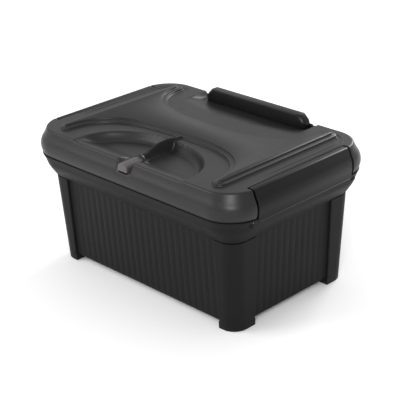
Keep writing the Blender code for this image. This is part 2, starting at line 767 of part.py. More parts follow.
def make_leaf(finish):
    """The plate behind the lid: a bead round the hinge pin and a curved back."""
    pin_y, pin_z = hinge_axis()
    top_y = HALF_D - LID_SHOULDER
    face = REAR_WINDOW_Y + GAP
    bead = arc((pin_y, pin_z), HINGE_KNUCKLE, 150, 375, 10)
    back = [(HALF_D, WIDEST), (HALF_D - 0.0012, WIDEST + 0.008), (top_y + 0.0036, LID_TOP - 0.012),
            (top_y + 0.0005, LID_TOP - 0.003)]
    front = [(face, LID_TOP - 0.003), (face, pin_z + 0.006)]
    leaf = add_object("rear_hinge_leaf", prism(bead + back + front, -HINGE_HALF_LENGTH + RUNNING_GAP,
                                               HINGE_HALF_LENGTH - RUNNING_GAP, "X"),
                      finish, (0, pin_y, pin_z), smooth=35)
    cuts = [cylinder(HINGE_PIN_RADIUS + GAP, (-HINGE_HALF_LENGTH - 0.01, pin_y, pin_z),
                     (HINGE_HALF_LENGTH + 0.01, pin_y, pin_z), "X", 12)]
    for x in bar_screw_x():
        cuts.append(cylinder(0.0015, (x, face - 0.01, leaf_screw_z()), (x, HALF_D - 0.003,
                                                                        leaf_screw_z()), "Y", 10))
    cut_all(leaf, [add_object("leaf_cut_%d" % i, piece) for i, piece in enumerate(cuts)])


def make_bar(finish):
    """The hollow grip bar on the lid's rear edge, with chamfered ends."""
    base = bar_seat_top() + GAP
    half = BAR_LENGTH / 2
    top_half = half - BAR_CHAMFER
    height = bar_top() - base

    def plan(front, back, wide, narrow, z):
        return [(-wide, back, z), (-wide, front + 0.004, z), (-narrow, front, z), (narrow, front, z),
                (wide, front + 0.004, z), (wide, back, z)]

    rings = [plan(bar_front(), bar_back(), half, half - 0.006, base),
             plan(bar_front(), bar_back(), half - 0.001, half - 0.008, base + height * 0.45),
             plan(bar_front() + 0.0006, bar_back() - 0.0006, top_half + 0.001, top_half - 0.004,
                  bar_top() - 0.0012),
             plan(bar_front() + 0.002, bar_back() - 0.002, top_half, top_half - 0.005, bar_top())]
    bar = add_object("rear_bar", loft(rings), finish, smooth=30)
    hollow = box((-top_half + BAR_SKIN, bar_front() + BAR_SKIN, base - 0.01),
                 (top_half - BAR_SKIN, bar_back() - BAR_SKIN, bar_top() - BAR_SKIN))
    cut_all(bar, [add_object("bar_hollow", hollow)])
    posts = [cylinder(0.004, (x, bar_middle(), base), (x, bar_middle(), bar_top() - 0.002), "Z", 12)
             for x in bar_screw_x()]
    join_all(bar, [add_object("bar_post_%d" % i, piece) for i, piece in enumerate(posts)])
    holes = [cylinder(0.0015, (x, bar_middle(), base - 0.005), (x, bar_middle(), base + 0.009), "Z", 10)
             for x in bar_screw_x()]
    cut_all(bar, [add_object("bar_hole_%d" % i, piece) for i, piece in enumerate(holes)])


def screw(name, seat, axis, direction, length, finish, radius=0.0012, head=0.0032):
    """A pan-head screw; its head bears on seat and its shank runs along axis in direction."""
    profile = [(head * 0.7, -0.0022), (head, -0.0014), (head, 0.0), (radius, 0.0), (radius, length)]
    rings = turned([(r, z * direction) for r, z in profile], seat, axis, 10)
    add_object(name, loft(rings), finish, smooth=35)


# End clips -------------------------------------------------------------------------

def clip_profile():
    """The right clip's section in X and Z: lip, bulging face, bead and inner side."""
    pin_x, pin_z = clip_axis()
    top = LID_TOP
    lip = WINDOW_X + CLIP_GAP
    skin = CLIP_SKIN
    outer = [(lip, top - 0.0005), (CLIP_OUTER_TOP - 0.004, top), (CLIP_OUTER_TOP, top - 0.0015),
             (HALF_L - LID_SHOULDER * 0.55, top - 0.012), (HALF_L - 0.0010, WIDEST + 0.008),
             (HALF_L, WIDEST), (HALF_L - 0.0004, WIDEST - 0.006)]
    bead = arc((pin_x, pin_z), CLIP_KNUCKLE, 20, -215, 11)
    inner = [(HALF_L - skin - 0.001, pin_z + 0.0075), (HALF_L - skin, WIDEST), (HALF_L - skin - 0.0012,
                                                                                WIDEST + 0.008),
             (HALF_L - LID_SHOULDER * 0.55 - skin, top - 0.0135), (CLIP_OUTER_TOP - skin - 0.003,
                                                                   top - skin - 0.001),
             (lip, top - skin)]
    return outer + bead + inner


def make_clip(side, finish):
    """One end clip, turning on its pin at the tub's collar."""
    name = "right_end_clip" if side > 0 else "left_end_clip"
    pin_x, pin_z = clip_axis()
    section = [(side * x, z) for x, z in clip_profile()]
    clip = add_object(name, prism(section, -CLIP_HALF, CLIP_HALF, "Y"), finish,
                      (side * pin_x, 0, pin_z), smooth=35)
    bore = cylinder(CLIP_PIN_RADIUS + GAP, (side * pin_x, -CLIP_HALF - 0.01, pin_z),
                    (side * pin_x, CLIP_HALF + 0.01, pin_z), "Y", 12)
    cut_all(clip, [add_object(name + "_bore", bore)])


def make_pins(finish):
    pin_x, pin_z = clip_axis()
    half = clip_pin_half() - 0.0005
    for side, name in ((-1, "left_clip_pin"), (1, "right_clip_pin")):
        add_object(name, cylinder(CLIP_PIN_RADIUS, (side * pin_x, -half, pin_z), (side * pin_x, half,
                                                                                  pin_z), "Y", 12),
                   finish, smooth=40)
    pin_y, pin_z = hinge_axis()
    half = HINGE_HALF_LENGTH + HINGE_EAR + 0.0005
    add_object("lid_hinge_pin", cylinder(HINGE_PIN_RADIUS, (-half, pin_y, pin_z), (half, pin_y, pin_z),
                                         "X", 12),
               finish, smooth=40)


# Latch ----------------------------------------------------------------------------

def tray_screw_x():
    return PAWL_WIDTH / 2 + TRAY_SKIN + 0.006


def make_button(finish):
    """A half-round thumb button with a square stem that ends in a wedge."""
    half = BUTTON_WIDTH / 2
    shoulder = button_top() - half * 0.72
    crown = [(half * math.cos(math.radians(a)), shoulder + half * 0.72 * math.sin(math.radians(a)))
             for a in range(0, 181, 20)]
    section = [(half, button_bottom())] + crown + [(-half, button_bottom())]
    section = section[::-1]

    def ring(y, share):
        middle = (button_top() + button_bottom()) / 2
        return [(x * share, y, middle + (z - middle) * share) for x, z in section]

    rear = button_front() + BUTTON_LENGTH
    rings = [ring(button_front(), 0.62), ring(button_front() + 0.0012, 0.84), ring(button_front() + 0.004,
                                                                                   0.97),
             ring(button_front() + 0.008, 1.0), ring(rear - 0.0008, 1.0), ring(rear, 0.95)]
    button = add_object("latch_button", loft(rings), finish, (0, stem_y(), button_bottom()), smooth=40)
    hollow = box((-half + BUTTON_SKIN, button_front() + 0.010, button_bottom() - 0.01),
                 (half - BUTTON_SKIN, rear - BUTTON_SKIN, button_top() - 0.0055))
    cut_all(button, [add_object("button_hollow", hollow)])
    stem = STEM_SIZE / 2
    foot = pawl_bottom() + 0.001
    wedge = [(stem_y() - stem, button_top() - 0.004), (stem_y() - stem, foot + STEM_SIZE),
             (stem_y() + stem, foot), (stem_y() + stem, button_top() - 0.004)]
    join_all(button, [add_object("button_stem", prism(wedge, -stem, stem, "X"))])


def spring_span():
    """The spring's lower and upper ends, between the pocket's floor and the button."""
    return pocket_floor() + GAP, button_top() - 0.0055 - GAP


def make_spring(finish):
    """A round-wire compression spring about the button's stem."""
    low, high = spring_span()
    wire = 0.0004
    radius = STEM_SIZE * 0.5 * math.sqrt(2) + 0.0012
    turns = 4
    steps = 12
    loops = []
    for index in range(turns * steps + 1):
        part = index / (turns * steps)
        angle = 2 * math.pi * turns * part
        height = low + wire + (high - low - 2 * wire) * part
        outward = Vector((math.cos(angle), math.sin(angle), 0))
        middle = Vector((0, stem_y(), height)) + outward * radius
        loops.append([middle + outward * (wire * math.cos(a)) + Vector((0, 0, wire * math.sin(a)))
                      for a in (0, math.pi / 2, math.pi, 3 * math.pi / 2)])
    add_object("latch_spring", loft(loops), finish, smooth=60)


def make_pawl(finish):
    """The sliding pawl behind the lid's front wall, driven rearwards by the button's wedge."""
    _, keeper_back = keeper_span()
    front = keeper_back + RUNNING_GAP + 0.0002
    rear = stem_y() + PAWL_LENGTH * 0.6
    half = PAWL_WIDTH / 2
    section = [(front, pawl_bottom()), (rear, pawl_bottom()), (rear, pawl_top()), (front + 0.004,
                                                                                   pawl_top()),
               (front, pawl_top() - 0.003)]
    pawl = add_object("latch_pawl", prism(section, -half, half, "X"), finish, (0, stem_y(),
                                                                               pawl_bottom()), smooth=30)
    stem = STEM_SIZE / 2
    high = pawl_top() + 0.005
    front_low = stem_y() - stem - RUNNING_GAP
    slot = [(front_low - BUTTON_TRAVEL, pawl_bottom() - 0.005), (stem_y() + stem + 0.0006,
                                                                 pawl_bottom() - 0.005),
            (stem_y() + stem + 0.0006, high), (front_low - BUTTON_TRAVEL, high)]
    side = stem + RUNNING_GAP
    cut_all(pawl, [add_object("pawl_slot", prism(slot, -side, side, "X"))])


def make_tray(finish):
    """The tray that holds the pawl up against the lid's latch block, slotted for the pressed stem."""
    half = PAWL_WIDTH / 2 + RUNNING_GAP
    wall = half + TRAY_SKIN
    wide = tray_screw_x() + 0.005
    floor = pawl_bottom() - RUNNING_GAP
    top = block_bottom() - GAP
    section = [(-wide, top), (-wide, top - TRAY_SKIN), (-wall, top - TRAY_SKIN), (-wall, floor - TRAY_SKIN),
               (wall, floor - TRAY_SKIN), (wall, top - TRAY_SKIN), (wide, top - TRAY_SKIN), (wide, top),
               (half, top), (half, floor), (-half, floor), (-half, top)]
    _, keeper_back = keeper_span()
    tray = add_object("latch_tray", prism(section, keeper_back + 0.003,
                                          stem_y() + PAWL_LENGTH * 0.6 + 0.003, "Y"),
                      finish)
    holes = [cylinder(0.0016, (side * tray_screw_x(), stem_y(), top - 0.01), (side * tray_screw_x(),
                                                                              stem_y(), top + 0.01),
                      "Z", 10) for side in (-1, 1)]
    slot = STEM_SIZE / 2 + RUNNING_GAP
    holes.append(box((-slot, stem_y() - slot, floor - 2 * TRAY_SKIN),
                     (slot, stem_y() + slot, floor + TRAY_SKIN)))
    cut_all(tray, [add_object("tray_hole_%d" % i, piece) for i, piece in enumerate(holes)])


# Inside ---------------------------------------------------------------------------

def make_mat(finish):
    """A resilient mat on the floor, between the hold-down bosses."""
    half_x = rod_x() - BOSS_RADIUS - 0.003
    inset = post_inset(FLOOR_TOP) + PANEL_RECESS + WALL + 0.006
    half_y = POST_Y - inset - MAT_MARGIN * 0.4
    rings = []
    for z, shrink in ((FLOOR_TOP + GAP, 0.0), (FLOOR_TOP + GAP + MAT_THICK - 0.0008, 0.0),
                      (FLOOR_TOP + GAP + MAT_THICK, 0.0008)):
        rings.append(outline(half_x - shrink, half_y - shrink, 0.014, z, half_y * 0.5, half_x,
                             half_x * 0.5, half_y, half_y))
    add_object("floor_mat", loft(rings), finish)


def bar_bottom():
    return FLOOR_TOP + MAT_THICK + BATTERY_HEIGHT


def make_hold_down(finishes):
    """Crossbar, two rods, washers and wing nuts that clamp the battery."""
    x = rod_x()
    half = HOLD_BAR_WIDTH / 2
    bottom = bar_bottom()
    top = bottom + HOLD_BAR_THICK
    section = [(-half, bottom), (-half * 0.55, bottom), (-half * 0.4, bottom + 0.003), (half * 0.4,
                                                                                        bottom + 0.003),
               (half * 0.55, bottom), (half, bottom), (half, top - 0.003), (half - 0.003,
                                                                            top), (-half + 0.003, top),
               (-half, top - 0.003)]
    bar = add_object("hold_down_bar", prism(section, -x - 0.0125, x + 0.0125, "X"), finishes["black"])
    holes = [cylinder(ROD_RADIUS + GAP, (side * x, 0, bottom - 0.01), (side * x, 0, top + 0.01), "Z", 12)
             for side in (-1, 1)]
    cut_all(bar, [add_object("hold_bar_hole_%d" % i, piece) for i, piece in enumerate(holes)])
    washer_low = top + GAP
    nut_low = washer_low + WASHER_THICK + GAP
    for side, word in ((-1, "left"), (1, "right")):
        rod_low = FLOOR_TOP + 0.003 + GAP
        rod_high = top + ROD_SPARE
        rod = [(ROD_RADIUS - 0.0008, 0.0), (ROD_RADIUS, 0.0008), (ROD_RADIUS, rod_high - rod_low - 0.0008),
               (ROD_RADIUS - 0.0008, rod_high - rod_low)]
        add_object("hold_down_rod_" + word, turned_solid(rod, (side * x, 0, rod_low), "Z", 12),
                   finishes["steel"],
                   smooth=40)
        bore = ROD_RADIUS + GAP
        ring = [(bore, 0.0), (WASHER_RADIUS, 0.0), (WASHER_RADIUS, WASHER_THICK), (bore, WASHER_THICK)]
        add_object("rod_washer_" + word, turned_ring(ring, (side * x, 0, washer_low), "Z", 16),
                   finishes["steel"],
                   smooth=40)
        make_wing_nut("wing_nut_" + word, (side * x, 0, nut_low), finishes["brass"])


def make_wing_nut(name, base, finish):
    """A round hub with two upright wings."""
    bore = ROD_RADIUS + GAP
    hub = [(bore, 0.0), (NUT_RADIUS, 0.0), (NUT_RADIUS * 0.8, NUT_HEIGHT), (bore, NUT_HEIGHT)]
    nut = add_object(name, turned_ring(hub, base, "Z", 14), finish, base, smooth=40)
    x, y, z = base
    wings = []
    for side in (-1, 1):
        near = side * (bore + 0.0010)
        shape = [(y + near, z + 0.002), (y + side * WING_SPAN * 0.6, z + 0.003), (y + side * WING_SPAN,
                                                                                  z + 0.009),
                 (y + side * WING_SPAN * 0.95, z + 0.0125), (y + side * WING_SPAN * 0.7, z + 0.0125),
                 (y + near, z + NUT_HEIGHT - 0.001)]
        if side < 0:
            shape = shape[::-1]
        wings.append(prism(shape, x - WING_THICK / 2, x + WING_THICK / 2, "X"))
    join_all(nut, [add_object("%s_wing_%d" % (name, i), piece) for i, piece in enumerate(wings)])


def make_gasket(finish):
    """The seal on the tub's rim, inside the lid's walls."""
    half_x = WINDOW_X - LID_SKIN - 0.0007
    half_y = REAR_WINDOW_Y - LID_SKIN - 0.0005
    low = TUB_HEIGHT + GAP
    rings = []
    for inset, z in ((0.0, low), (0.0, low + GASKET_HEIGHT * 0.7), (GASKET_WIDTH * 0.5,
                                                                    low + GASKET_HEIGHT),
                     (GASKET_WIDTH, low + GASKET_HEIGHT * 0.7), (GASKET_WIDTH, low)):
        rings.append(outline(half_x - inset, half_y - inset, CORNER_RADIUS - inset, z, 0.06, half_x, 0.12,
                             half_y, half_y))
    add_object("rim_gasket", loft(rings, closed_ring=True), finish, smooth=30)


def make_glands(finishes):
    """Two cable glands: body, lock nut, sealing ring and dome nut each."""
    for word, x, z in gland_places():
        outer = panel_y(z) + WALL_BOSS_PROUD + GAP
        inner = panel_y(z) - WALL - WALL_BOSS_PROUD - GAP
        wall = outer - inner
        base = (x, outer, z)
        bore = GLAND_BORE
        seat = GLAND_THREAD - 0.0012
        body = [(bore, -wall - 0.007), (GLAND_THREAD, -wall - 0.007), (GLAND_THREAD, 0.0), (GLAND_HEX, 0.0),
                (GLAND_HEX, 0.004), (GLAND_THREAD + 0.0002, 0.004), (GLAND_THREAD + 0.0002,
                                                                     0.0105), (seat, 0.0105),
                (seat, 0.006), (bore, 0.005)]
        add_object("gland_body_" + word, turned_ring(body, base, "Y", 18), finishes["black"], smooth=30)
        seal = [(bore - 0.0006, 0.0064), (seat - GAP, 0.0064), (seat - GAP, 0.0135), (bore - 0.0006,
                                                                                      0.0135)]
        add_object("gland_seal_" + word, turned_ring(seal, base, "Y", 16), finishes["rubber"], smooth=30)
        cap_bore = GLAND_THREAD + 0.0002 + GAP
        cap = [(cap_bore, 0.0045), (GLAND_HEX - 0.0003, 0.0045), (GLAND_HEX - 0.0003, 0.013),
               (GLAND_HEX - 0.003, 0.0175),
               (bore + 0.0004, 0.0185), (bore + 0.0004, 0.0141), (cap_bore, 0.0141)]
        add_object("gland_cap_" + word, turned_ring(cap, base, "Y", 18), finishes["black"], smooth=30)
        near = outer - wall - GAP
        far = near - 0.005
        nut = add_object("gland_lock_nut_" + word, cylinder(GLAND_HEX + 0.001, (x, far, z), (x, near, z),
                                                            "Y", 6),
                         finishes["black"])
        bore = cylinder(GLAND_THREAD + GAP, (x, far - 0.01, z), (x, near + 0.01, z), "Y", 18)
        cut_all(nut, [add_object("gland_nut_bore_" + word, bore)])


def make_vent(finishes):
    """A breather in the rear wall: a threaded body and a shrouding cap."""
    z = TUB_HEIGHT - GLAND_DROP
    outer = panel_y(z) + WALL_BOSS_PROUD + GAP
    wall = WALL + 2 * WALL_BOSS_PROUD + 2 * GAP
    base = (0, outer, z)
    bore = VENT_THREAD - 0.003
    body = [(bore, -wall - 0.004), (VENT_THREAD, -wall - 0.004), (VENT_THREAD, 0.0), (VENT_CAP - 0.0005,
                                                                                      0.0),
            (VENT_CAP - 0.0005, 0.0025), (VENT_THREAD, 0.0025), (VENT_THREAD, 0.009), (bore, 0.009)]
    add_object("vent_body", turned_ring(body, base, "Y", 18), finishes["black"], smooth=30)
    inner = VENT_THREAD + GAP
    cap = [(inner, 0.0045), (VENT_CAP - 0.001, 0.0045), (VENT_CAP - 0.001, 0.0105), (VENT_CAP - 0.004,
                                                                                     0.0125),
           (0.0015, 0.0130), (0.0015, 0.0105), (inner, 0.0100)]
    add_object("vent_cap", turned_ring(cap, base, "Y", 18), finishes["black"], smooth=30)


def build():
    clear_scene()
    plastic = material("charcoal polypropylene", (0.030, 0.030, 0.032), 0.48)
    finishes = {"black": material("black nylon", (0.020, 0.020, 0.022), 0.40),
                "steel": material("zinc-plated steel", (0.55, 0.56, 0.58), 0.32, 1.0),
                "brass": material("brass", (0.72, 0.55, 0.28), 0.35, 1.0),
                "rubber": material("black rubber", (0.018, 0.018, 0.018), 0.75),
                "clip": material("smooth clip plastic", (0.026, 0.025, 0.026), 0.34),
                "button": material("grey button plastic", (0.110, 0.105, 0.108), 0.36)}
    make_tub(plastic)
    make_lid(plastic)
    make_leaf(plastic)
    make_bar(finishes["clip"])
    for side in (-1, 1):
        make_clip(side, finishes["clip"])
    make_pins(finishes["steel"])
    make_button(finishes["button"])
    make_spring(finishes["steel"])
    make_pawl(finishes["black"])
    make_tray(finishes["black"])
    make_mat(finishes["rubber"])
    make_hold_down(finishes)
    make_gasket(finishes["rubber"])
    make_glands(finishes)
    make_vent(finishes)
    for index, x in enumerate(bar_screw_x()):
        word = ("left", "middle", "right")[index]
        seat_z = bar_seat_top() - LID_SKIN - GAP
        screw("bar_screw_" + word, (x, bar_middle(), seat_z), "Z", 1, LID_SKIN + 0.008, finishes["steel"])
        seat_y = REAR_WINDOW_Y - LID_SKIN - GAP
        screw("leaf_screw_" + word, (x, seat_y, leaf_screw_z()), "Y", 1, LID_SKIN + 0.005,
              finishes["steel"])
    for side, word in ((-1, "left"), (1, "right")):
        seat = (side * tray_screw_x(), stem_y(), block_bottom() - TRAY_SKIN - 2 * GAP)
        screw("tray_screw_" + word, seat, "Z", 1, TRAY_SKIN + 0.006, finishes["steel"], 0.0009, 0.0024)


build()
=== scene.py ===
"""Clip-lid battery box: detailed mouldings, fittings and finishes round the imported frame."""
from __future__ import annotations

import logging
import math
from dataclasses import dataclass
from enum import Enum
from typing import Callable, Iterable, Sequence

import bmesh
import bpy
from mathutils import Matrix, Vector

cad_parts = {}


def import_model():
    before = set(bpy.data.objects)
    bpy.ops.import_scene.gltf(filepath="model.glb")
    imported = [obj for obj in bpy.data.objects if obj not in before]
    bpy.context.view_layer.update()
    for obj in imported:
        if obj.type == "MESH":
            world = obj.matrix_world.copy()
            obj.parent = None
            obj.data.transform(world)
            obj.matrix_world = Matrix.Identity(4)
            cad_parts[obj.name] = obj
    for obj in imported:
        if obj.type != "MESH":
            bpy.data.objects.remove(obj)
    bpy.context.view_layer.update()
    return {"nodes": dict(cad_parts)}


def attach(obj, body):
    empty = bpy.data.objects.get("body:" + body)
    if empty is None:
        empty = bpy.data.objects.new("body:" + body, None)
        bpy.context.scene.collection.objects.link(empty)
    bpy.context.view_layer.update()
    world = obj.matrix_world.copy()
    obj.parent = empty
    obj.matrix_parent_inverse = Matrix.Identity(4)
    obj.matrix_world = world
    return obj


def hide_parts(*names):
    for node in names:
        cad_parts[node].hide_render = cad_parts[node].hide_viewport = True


LOG = logging.getLogger("battery_box")
Point = tuple[float, float, float]
Plan = tuple[float, float]
Ring = list[Point]


# Small helpers ----------------------------------------------------------------------


def smoothstep(value: float) -> float:
    """A ramp from 0 to 1 with flat ends."""
    value = min(1.0, max(0.0, value))
    return value * value * (3.0 - 2.0 * value)


def along(value: float, knots: Sequence[Plan]) -> float:
    """Read a broken line at a value.

    Args:
        value: where to read it.
        knots: the line's points, in rising order.

    Returns:
        The line's height there, held level past both ends.
    """
    if value <= knots[0][0]:
        return knots[0][1]
    for (low, first), (high, second) in zip(knots, knots[1:]):
        if value <= high:
            return first + (second - first) * (value - low) / (high - low)
    return knots[-1][1]


def arc(centre: Plan, radius: float, start: float, stop: float, steps: int) -> list[Plan]:
    """Points on a circle's arc between two angles in degrees."""
    angles = [math.radians(start + (stop - start) * step / steps) for step in range(steps + 1)]
    return [(centre[0] + radius * math.cos(a), centre[1] + radius * math.sin(a)) for a in angles]


def rounded_curve(knots: Sequence[Plan], steps: int) -> list[Plan]:
    """A smooth curve through a few points.

    Args:
        knots: the points it passes.
        steps: how many pieces each span is cut into.

    Returns:
        The curve's points, first and last knots included.
    """
    curve: list[Plan] = []
    for index in range(len(knots) - 1):
        before = knots[max(index - 1, 0)]
        here, there = knots[index], knots[index + 1]
        after = knots[min(index + 2, len(knots) - 1)]
        for step in range(steps):
            t = step / steps
            curve.append(tuple(0.5 * (2 * here[k] + (there[k] - before[k]) * t
                                      + (2 * before[k] - 5 * here[k] + 4 * there[k] - after[k]) * t * t
                                      + (3 * here[k] - before[k] - 3 * there[k] + after[k]) * t ** 3)
                               for k in (0, 1)))
    curve.append(tuple(knots[-1]))
    return curve


def loft(rings: Sequence[Ring]) -> bmesh.types.BMesh:
    """Draw a closed skin through rings that have the same number of points.

    Args:
        rings: closed loops of points, from one end of the shape to the other.

    Returns:
        A closed mesh whose first and last rings are filled.
    """
    made = bmesh.new()
    ring = [made.verts.new(point) for point in rings[0]]
    count = len(ring)
    first = [made.edges.new((ring[i], ring[(i + 1) % count])) for i in range(count)]
    edges = first
    for points in rings[1:]:
        grown = bmesh.ops.extrude_edge_only(made, edges=edges)["geom"]
        fresh = {item for item in grown if isinstance(item, bmesh.types.BMVert)}
        ring = [next(e.other_vert(v) for e in v.link_edges if e.other_vert(v) in fresh) for v in ring]
        edges = [made.edges.get((ring[i], ring[(i + 1) % count])) for i in range(count)]
        for vert, point in zip(ring, points):
            vert.co = point
    bmesh.ops.holes_fill(made, edges=first + edges, sides=0)
    bmesh.ops.recalc_face_normals(made, faces=made.faces)
    return made


def slab(low: Point, high: Point, round_by: float = 0.0, segments: int = 2) -> bmesh.types.BMesh:
    """A box between two corners, with its edges rounded."""
    made = bmesh.new()
    bmesh.ops.create_cube(made, size=1.0)
    size = [high[k] - low[k] for k in range(3)]
    middle = [(high[k] + low[k]) / 2 for k in range(3)]
    bmesh.ops.scale(made, verts=made.verts, vec=size)
    bmesh.ops.translate(made, verts=made.verts, vec=middle)
    if round_by:
        bmesh.ops.bevel(made, geom=made.edges[:], offset=round_by, offset_type="OFFSET", affect="EDGES",
                        segments=segments, profile=0.5, material=-1)
    return made


def extruded(section: Sequence[Plan], low: float, high: float, axis: str,
             round_by: float = 0.0) -> bmesh.types.BMesh:
    """Push a flat section along an axis and round its two end edges.

    Args:
        section: the outline, in the plane across the axis.
        low: where the shape starts on the axis.
        high: where it ends.
        axis: X, for a section in Y and Z, or Y, for one in X and Z.
        round_by: radius of the rounding round both ends.

    Returns:
        The closed mesh.
    """
    made = bmesh.new()
    if axis == "X":
        verts = [made.verts.new((low, a, b)) for a, b in section]
        push = (high - low, 0, 0)
    else:
        verts = [made.verts.new((a, low, b)) for a, b in section]
        push = (0, high - low, 0)
    face = made.faces.new(verts)
    grown = bmesh.ops.extrude_face_region(made, geom=[face], use_keep_orig=True)["geom"]
    bmesh.ops.translate(made, verts=[v for v in grown if isinstance(v, bmesh.types.BMVert)], vec=push)
    bmesh.ops.recalc_face_normals(made, faces=made.faces)
    if round_by:
        ends = [f for f in made.faces if len(f.verts) == len(section)]
        rim = list({edge for end in ends for edge in end.edges})
        bmesh.ops.bevel(made, geom=rim, offset=round_by, offset_type="OFFSET", affect="EDGES", segments=3,
                        profile=0.5, material=-1, clamp_overlap=True)
    return made


def turned(profile: Sequence[Plan], seat: Point, turn: Matrix, steps: int = 40) -> bmesh.types.BMesh:
    """Spin a radius-and-height profile into a round piece.

    Args:
        profile: radius and height pairs; it starts and ends on the axis or closes on itself.
        seat: where the profile's origin goes.
        turn: rotation that takes +Z to the piece's own axis.
        steps: sides of the full turn.

    Returns:
        The closed mesh.
    """
    made = bmesh.new()
    verts = [made.verts.new((radius, 0, height)) for radius, height in profile]
    edges = [made.edges.new(pair) for pair in zip(verts, verts[1:])]
    if profile[0][0] > 1e-6:
        edges.append(made.edges.new((verts[-1], verts[0])))
    bmesh.ops.spin(made, geom=verts + edges, cent=(0, 0, 0), axis=(0, 0, 1), dvec=(0, 0, 0),
                   angle=math.tau, steps=steps, use_merge=True, use_duplicate=False)
    bmesh.ops.remove_doubles(made, verts=made.verts, dist=1e-6)
    bmesh.ops.recalc_face_normals(made, faces=made.faces)
    bmesh.ops.transform(made, matrix=Matrix.Translation(seat) @ turn, verts=made.verts)
    return made


def mirrored(made: bmesh.types.BMesh) -> bmesh.types.BMesh:
    """A copy of a mesh on the other side of the YZ plane, facing outwards."""
    other = made.copy()
    bmesh.ops.scale(other, verts=other.verts, vec=(-1, 1, 1))
    bmesh.ops.reverse_faces(other, faces=other.faces)
    return other


def join(parts: Iterable[bmesh.types.BMesh]) -> bmesh.types.BMesh:
    """Put several meshes into one and free them."""
    whole = bmesh.new()
    for part in parts:
        held = bpy.data.meshes.new("held")
        part.to_mesh(held)
        part.free()
        whole.from_mesh(held)
        bpy.data.meshes.remove(held)
    return whole


def finish_piece(name: str, made: bmesh.types.BMesh, sharp: float = 32.0) -> bpy.types.Object:
    """Turn a mesh into an object with soft shading and crisp edges.

    Args:
        name: the piece's name.
        made: its mesh, which is freed.
        sharp: edges that turn by more than this many degrees stay crisp.

    Returns:
        The new object, at the origin.
    """
    limit = math.radians(sharp)
    for face in made.faces:
        face.smooth = True
    for edge in made.edges:
        edge.smooth = len(edge.link_faces) == 2 and edge.calc_face_angle(0.0) < limit
    data = bpy.data.meshes.new(name)
    made.to_mesh(data)
    made.free()
    piece = bpy.data.objects.new(name, data)
    bpy.context.scene.collection.objects.link(piece)
    return piece


# Finishes ---------------------------------------------------------------------------


class Effect(Enum):
    """The shader groups that the finishes share."""

    GRAIN = "moulded_grain"
    SCUFF = "scuff_and_dust"


def group_sockets(group: bpy.types.NodeTree, inputs: dict[str, float], outputs: Sequence[str]) -> None:
    """Give a shader group its named number inputs and outputs, with a vector input first."""
    group.interface.new_socket("Vector", in_out="INPUT", socket_type="NodeSocketVector")
    for name, value in inputs.items():
        socket = group.interface.new_socket(name, in_out="INPUT", socket_type="NodeSocketFloat")
        socket.default_value = value
    for name in outputs:
        group.interface.new_socket(name, in_out="OUTPUT", socket_type="NodeSocketFloat")


def math_node(tree: bpy.types.NodeTree, kind: str, first: object,
              second: object = 0.0) -> bpy.types.NodeSocket:
    """Add a Math node whose inputs are sockets or numbers, and give back its output."""
    node = tree.nodes.new("ShaderNodeMath")
    node.operation = kind
    for slot, value in enumerate((first, second)):
        if isinstance(value, bpy.types.NodeSocket):
            tree.links.new(value, node.inputs[slot])
        else:
            node.inputs[slot].default_value = value
    return node.outputs[0]


def noise_node(tree: bpy.types.NodeTree, vector: bpy.types.NodeSocket, scale: object,
               detail: float) -> bpy.types.NodeSocket:
    """Add a Noise Texture and give back its factor."""
    node = tree.nodes.new("ShaderNodeTexNoise")
    tree.links.new(vector, node.inputs["Vector"])
    if isinstance(scale, bpy.types.NodeSocket):
        tree.links.new(scale, node.inputs["Scale"])
    else:
        node.inputs["Scale"].default_value = scale
    node.inputs["Detail"].default_value = detail
    return node.outputs["Fac"]


def grain_group() -> bpy.types.NodeTree:
    """The fine pebbled surface that a textured mould leaves."""
    group = bpy.data.node_groups.new(Effect.GRAIN.value, "ShaderNodeTree")
    group_sockets(group, {"Scale": 900.0, "Cloud": 9.0}, ("Height", "Tone"))
    source = group.nodes.new("NodeGroupInput")
    result = group.nodes.new("NodeGroupOutput")
    cell = group.nodes.new("ShaderNodeTexVoronoi")
    cell.feature = "SMOOTH_F1"
    group.links.new(source.outputs["Vector"], cell.inputs["Vector"])
    group.links.new(source.outputs["Scale"], cell.inputs["Scale"])
    fine = noise_node(group, source.outputs["Vector"],
                      math_node(group, "MULTIPLY", source.outputs["Scale"], 1.7), 2.0)
    height = math_node(group, "ADD", math_node(group, "MULTIPLY", cell.outputs["Distance"], 0.7),
                       math_node(group, "MULTIPLY", fine, 0.5))
    cloud = noise_node(group, source.outputs["Vector"], source.outputs["Cloud"], 4.0)
    tone = math_node(group, "ADD", math_node(group, "MULTIPLY", cloud, 0.75),
                     math_node(group, "MULTIPLY", fine, 0.25))
    group.links.new(height, result.inputs["Height"])
    group.links.new(tone, result.inputs["Tone"])
    return group


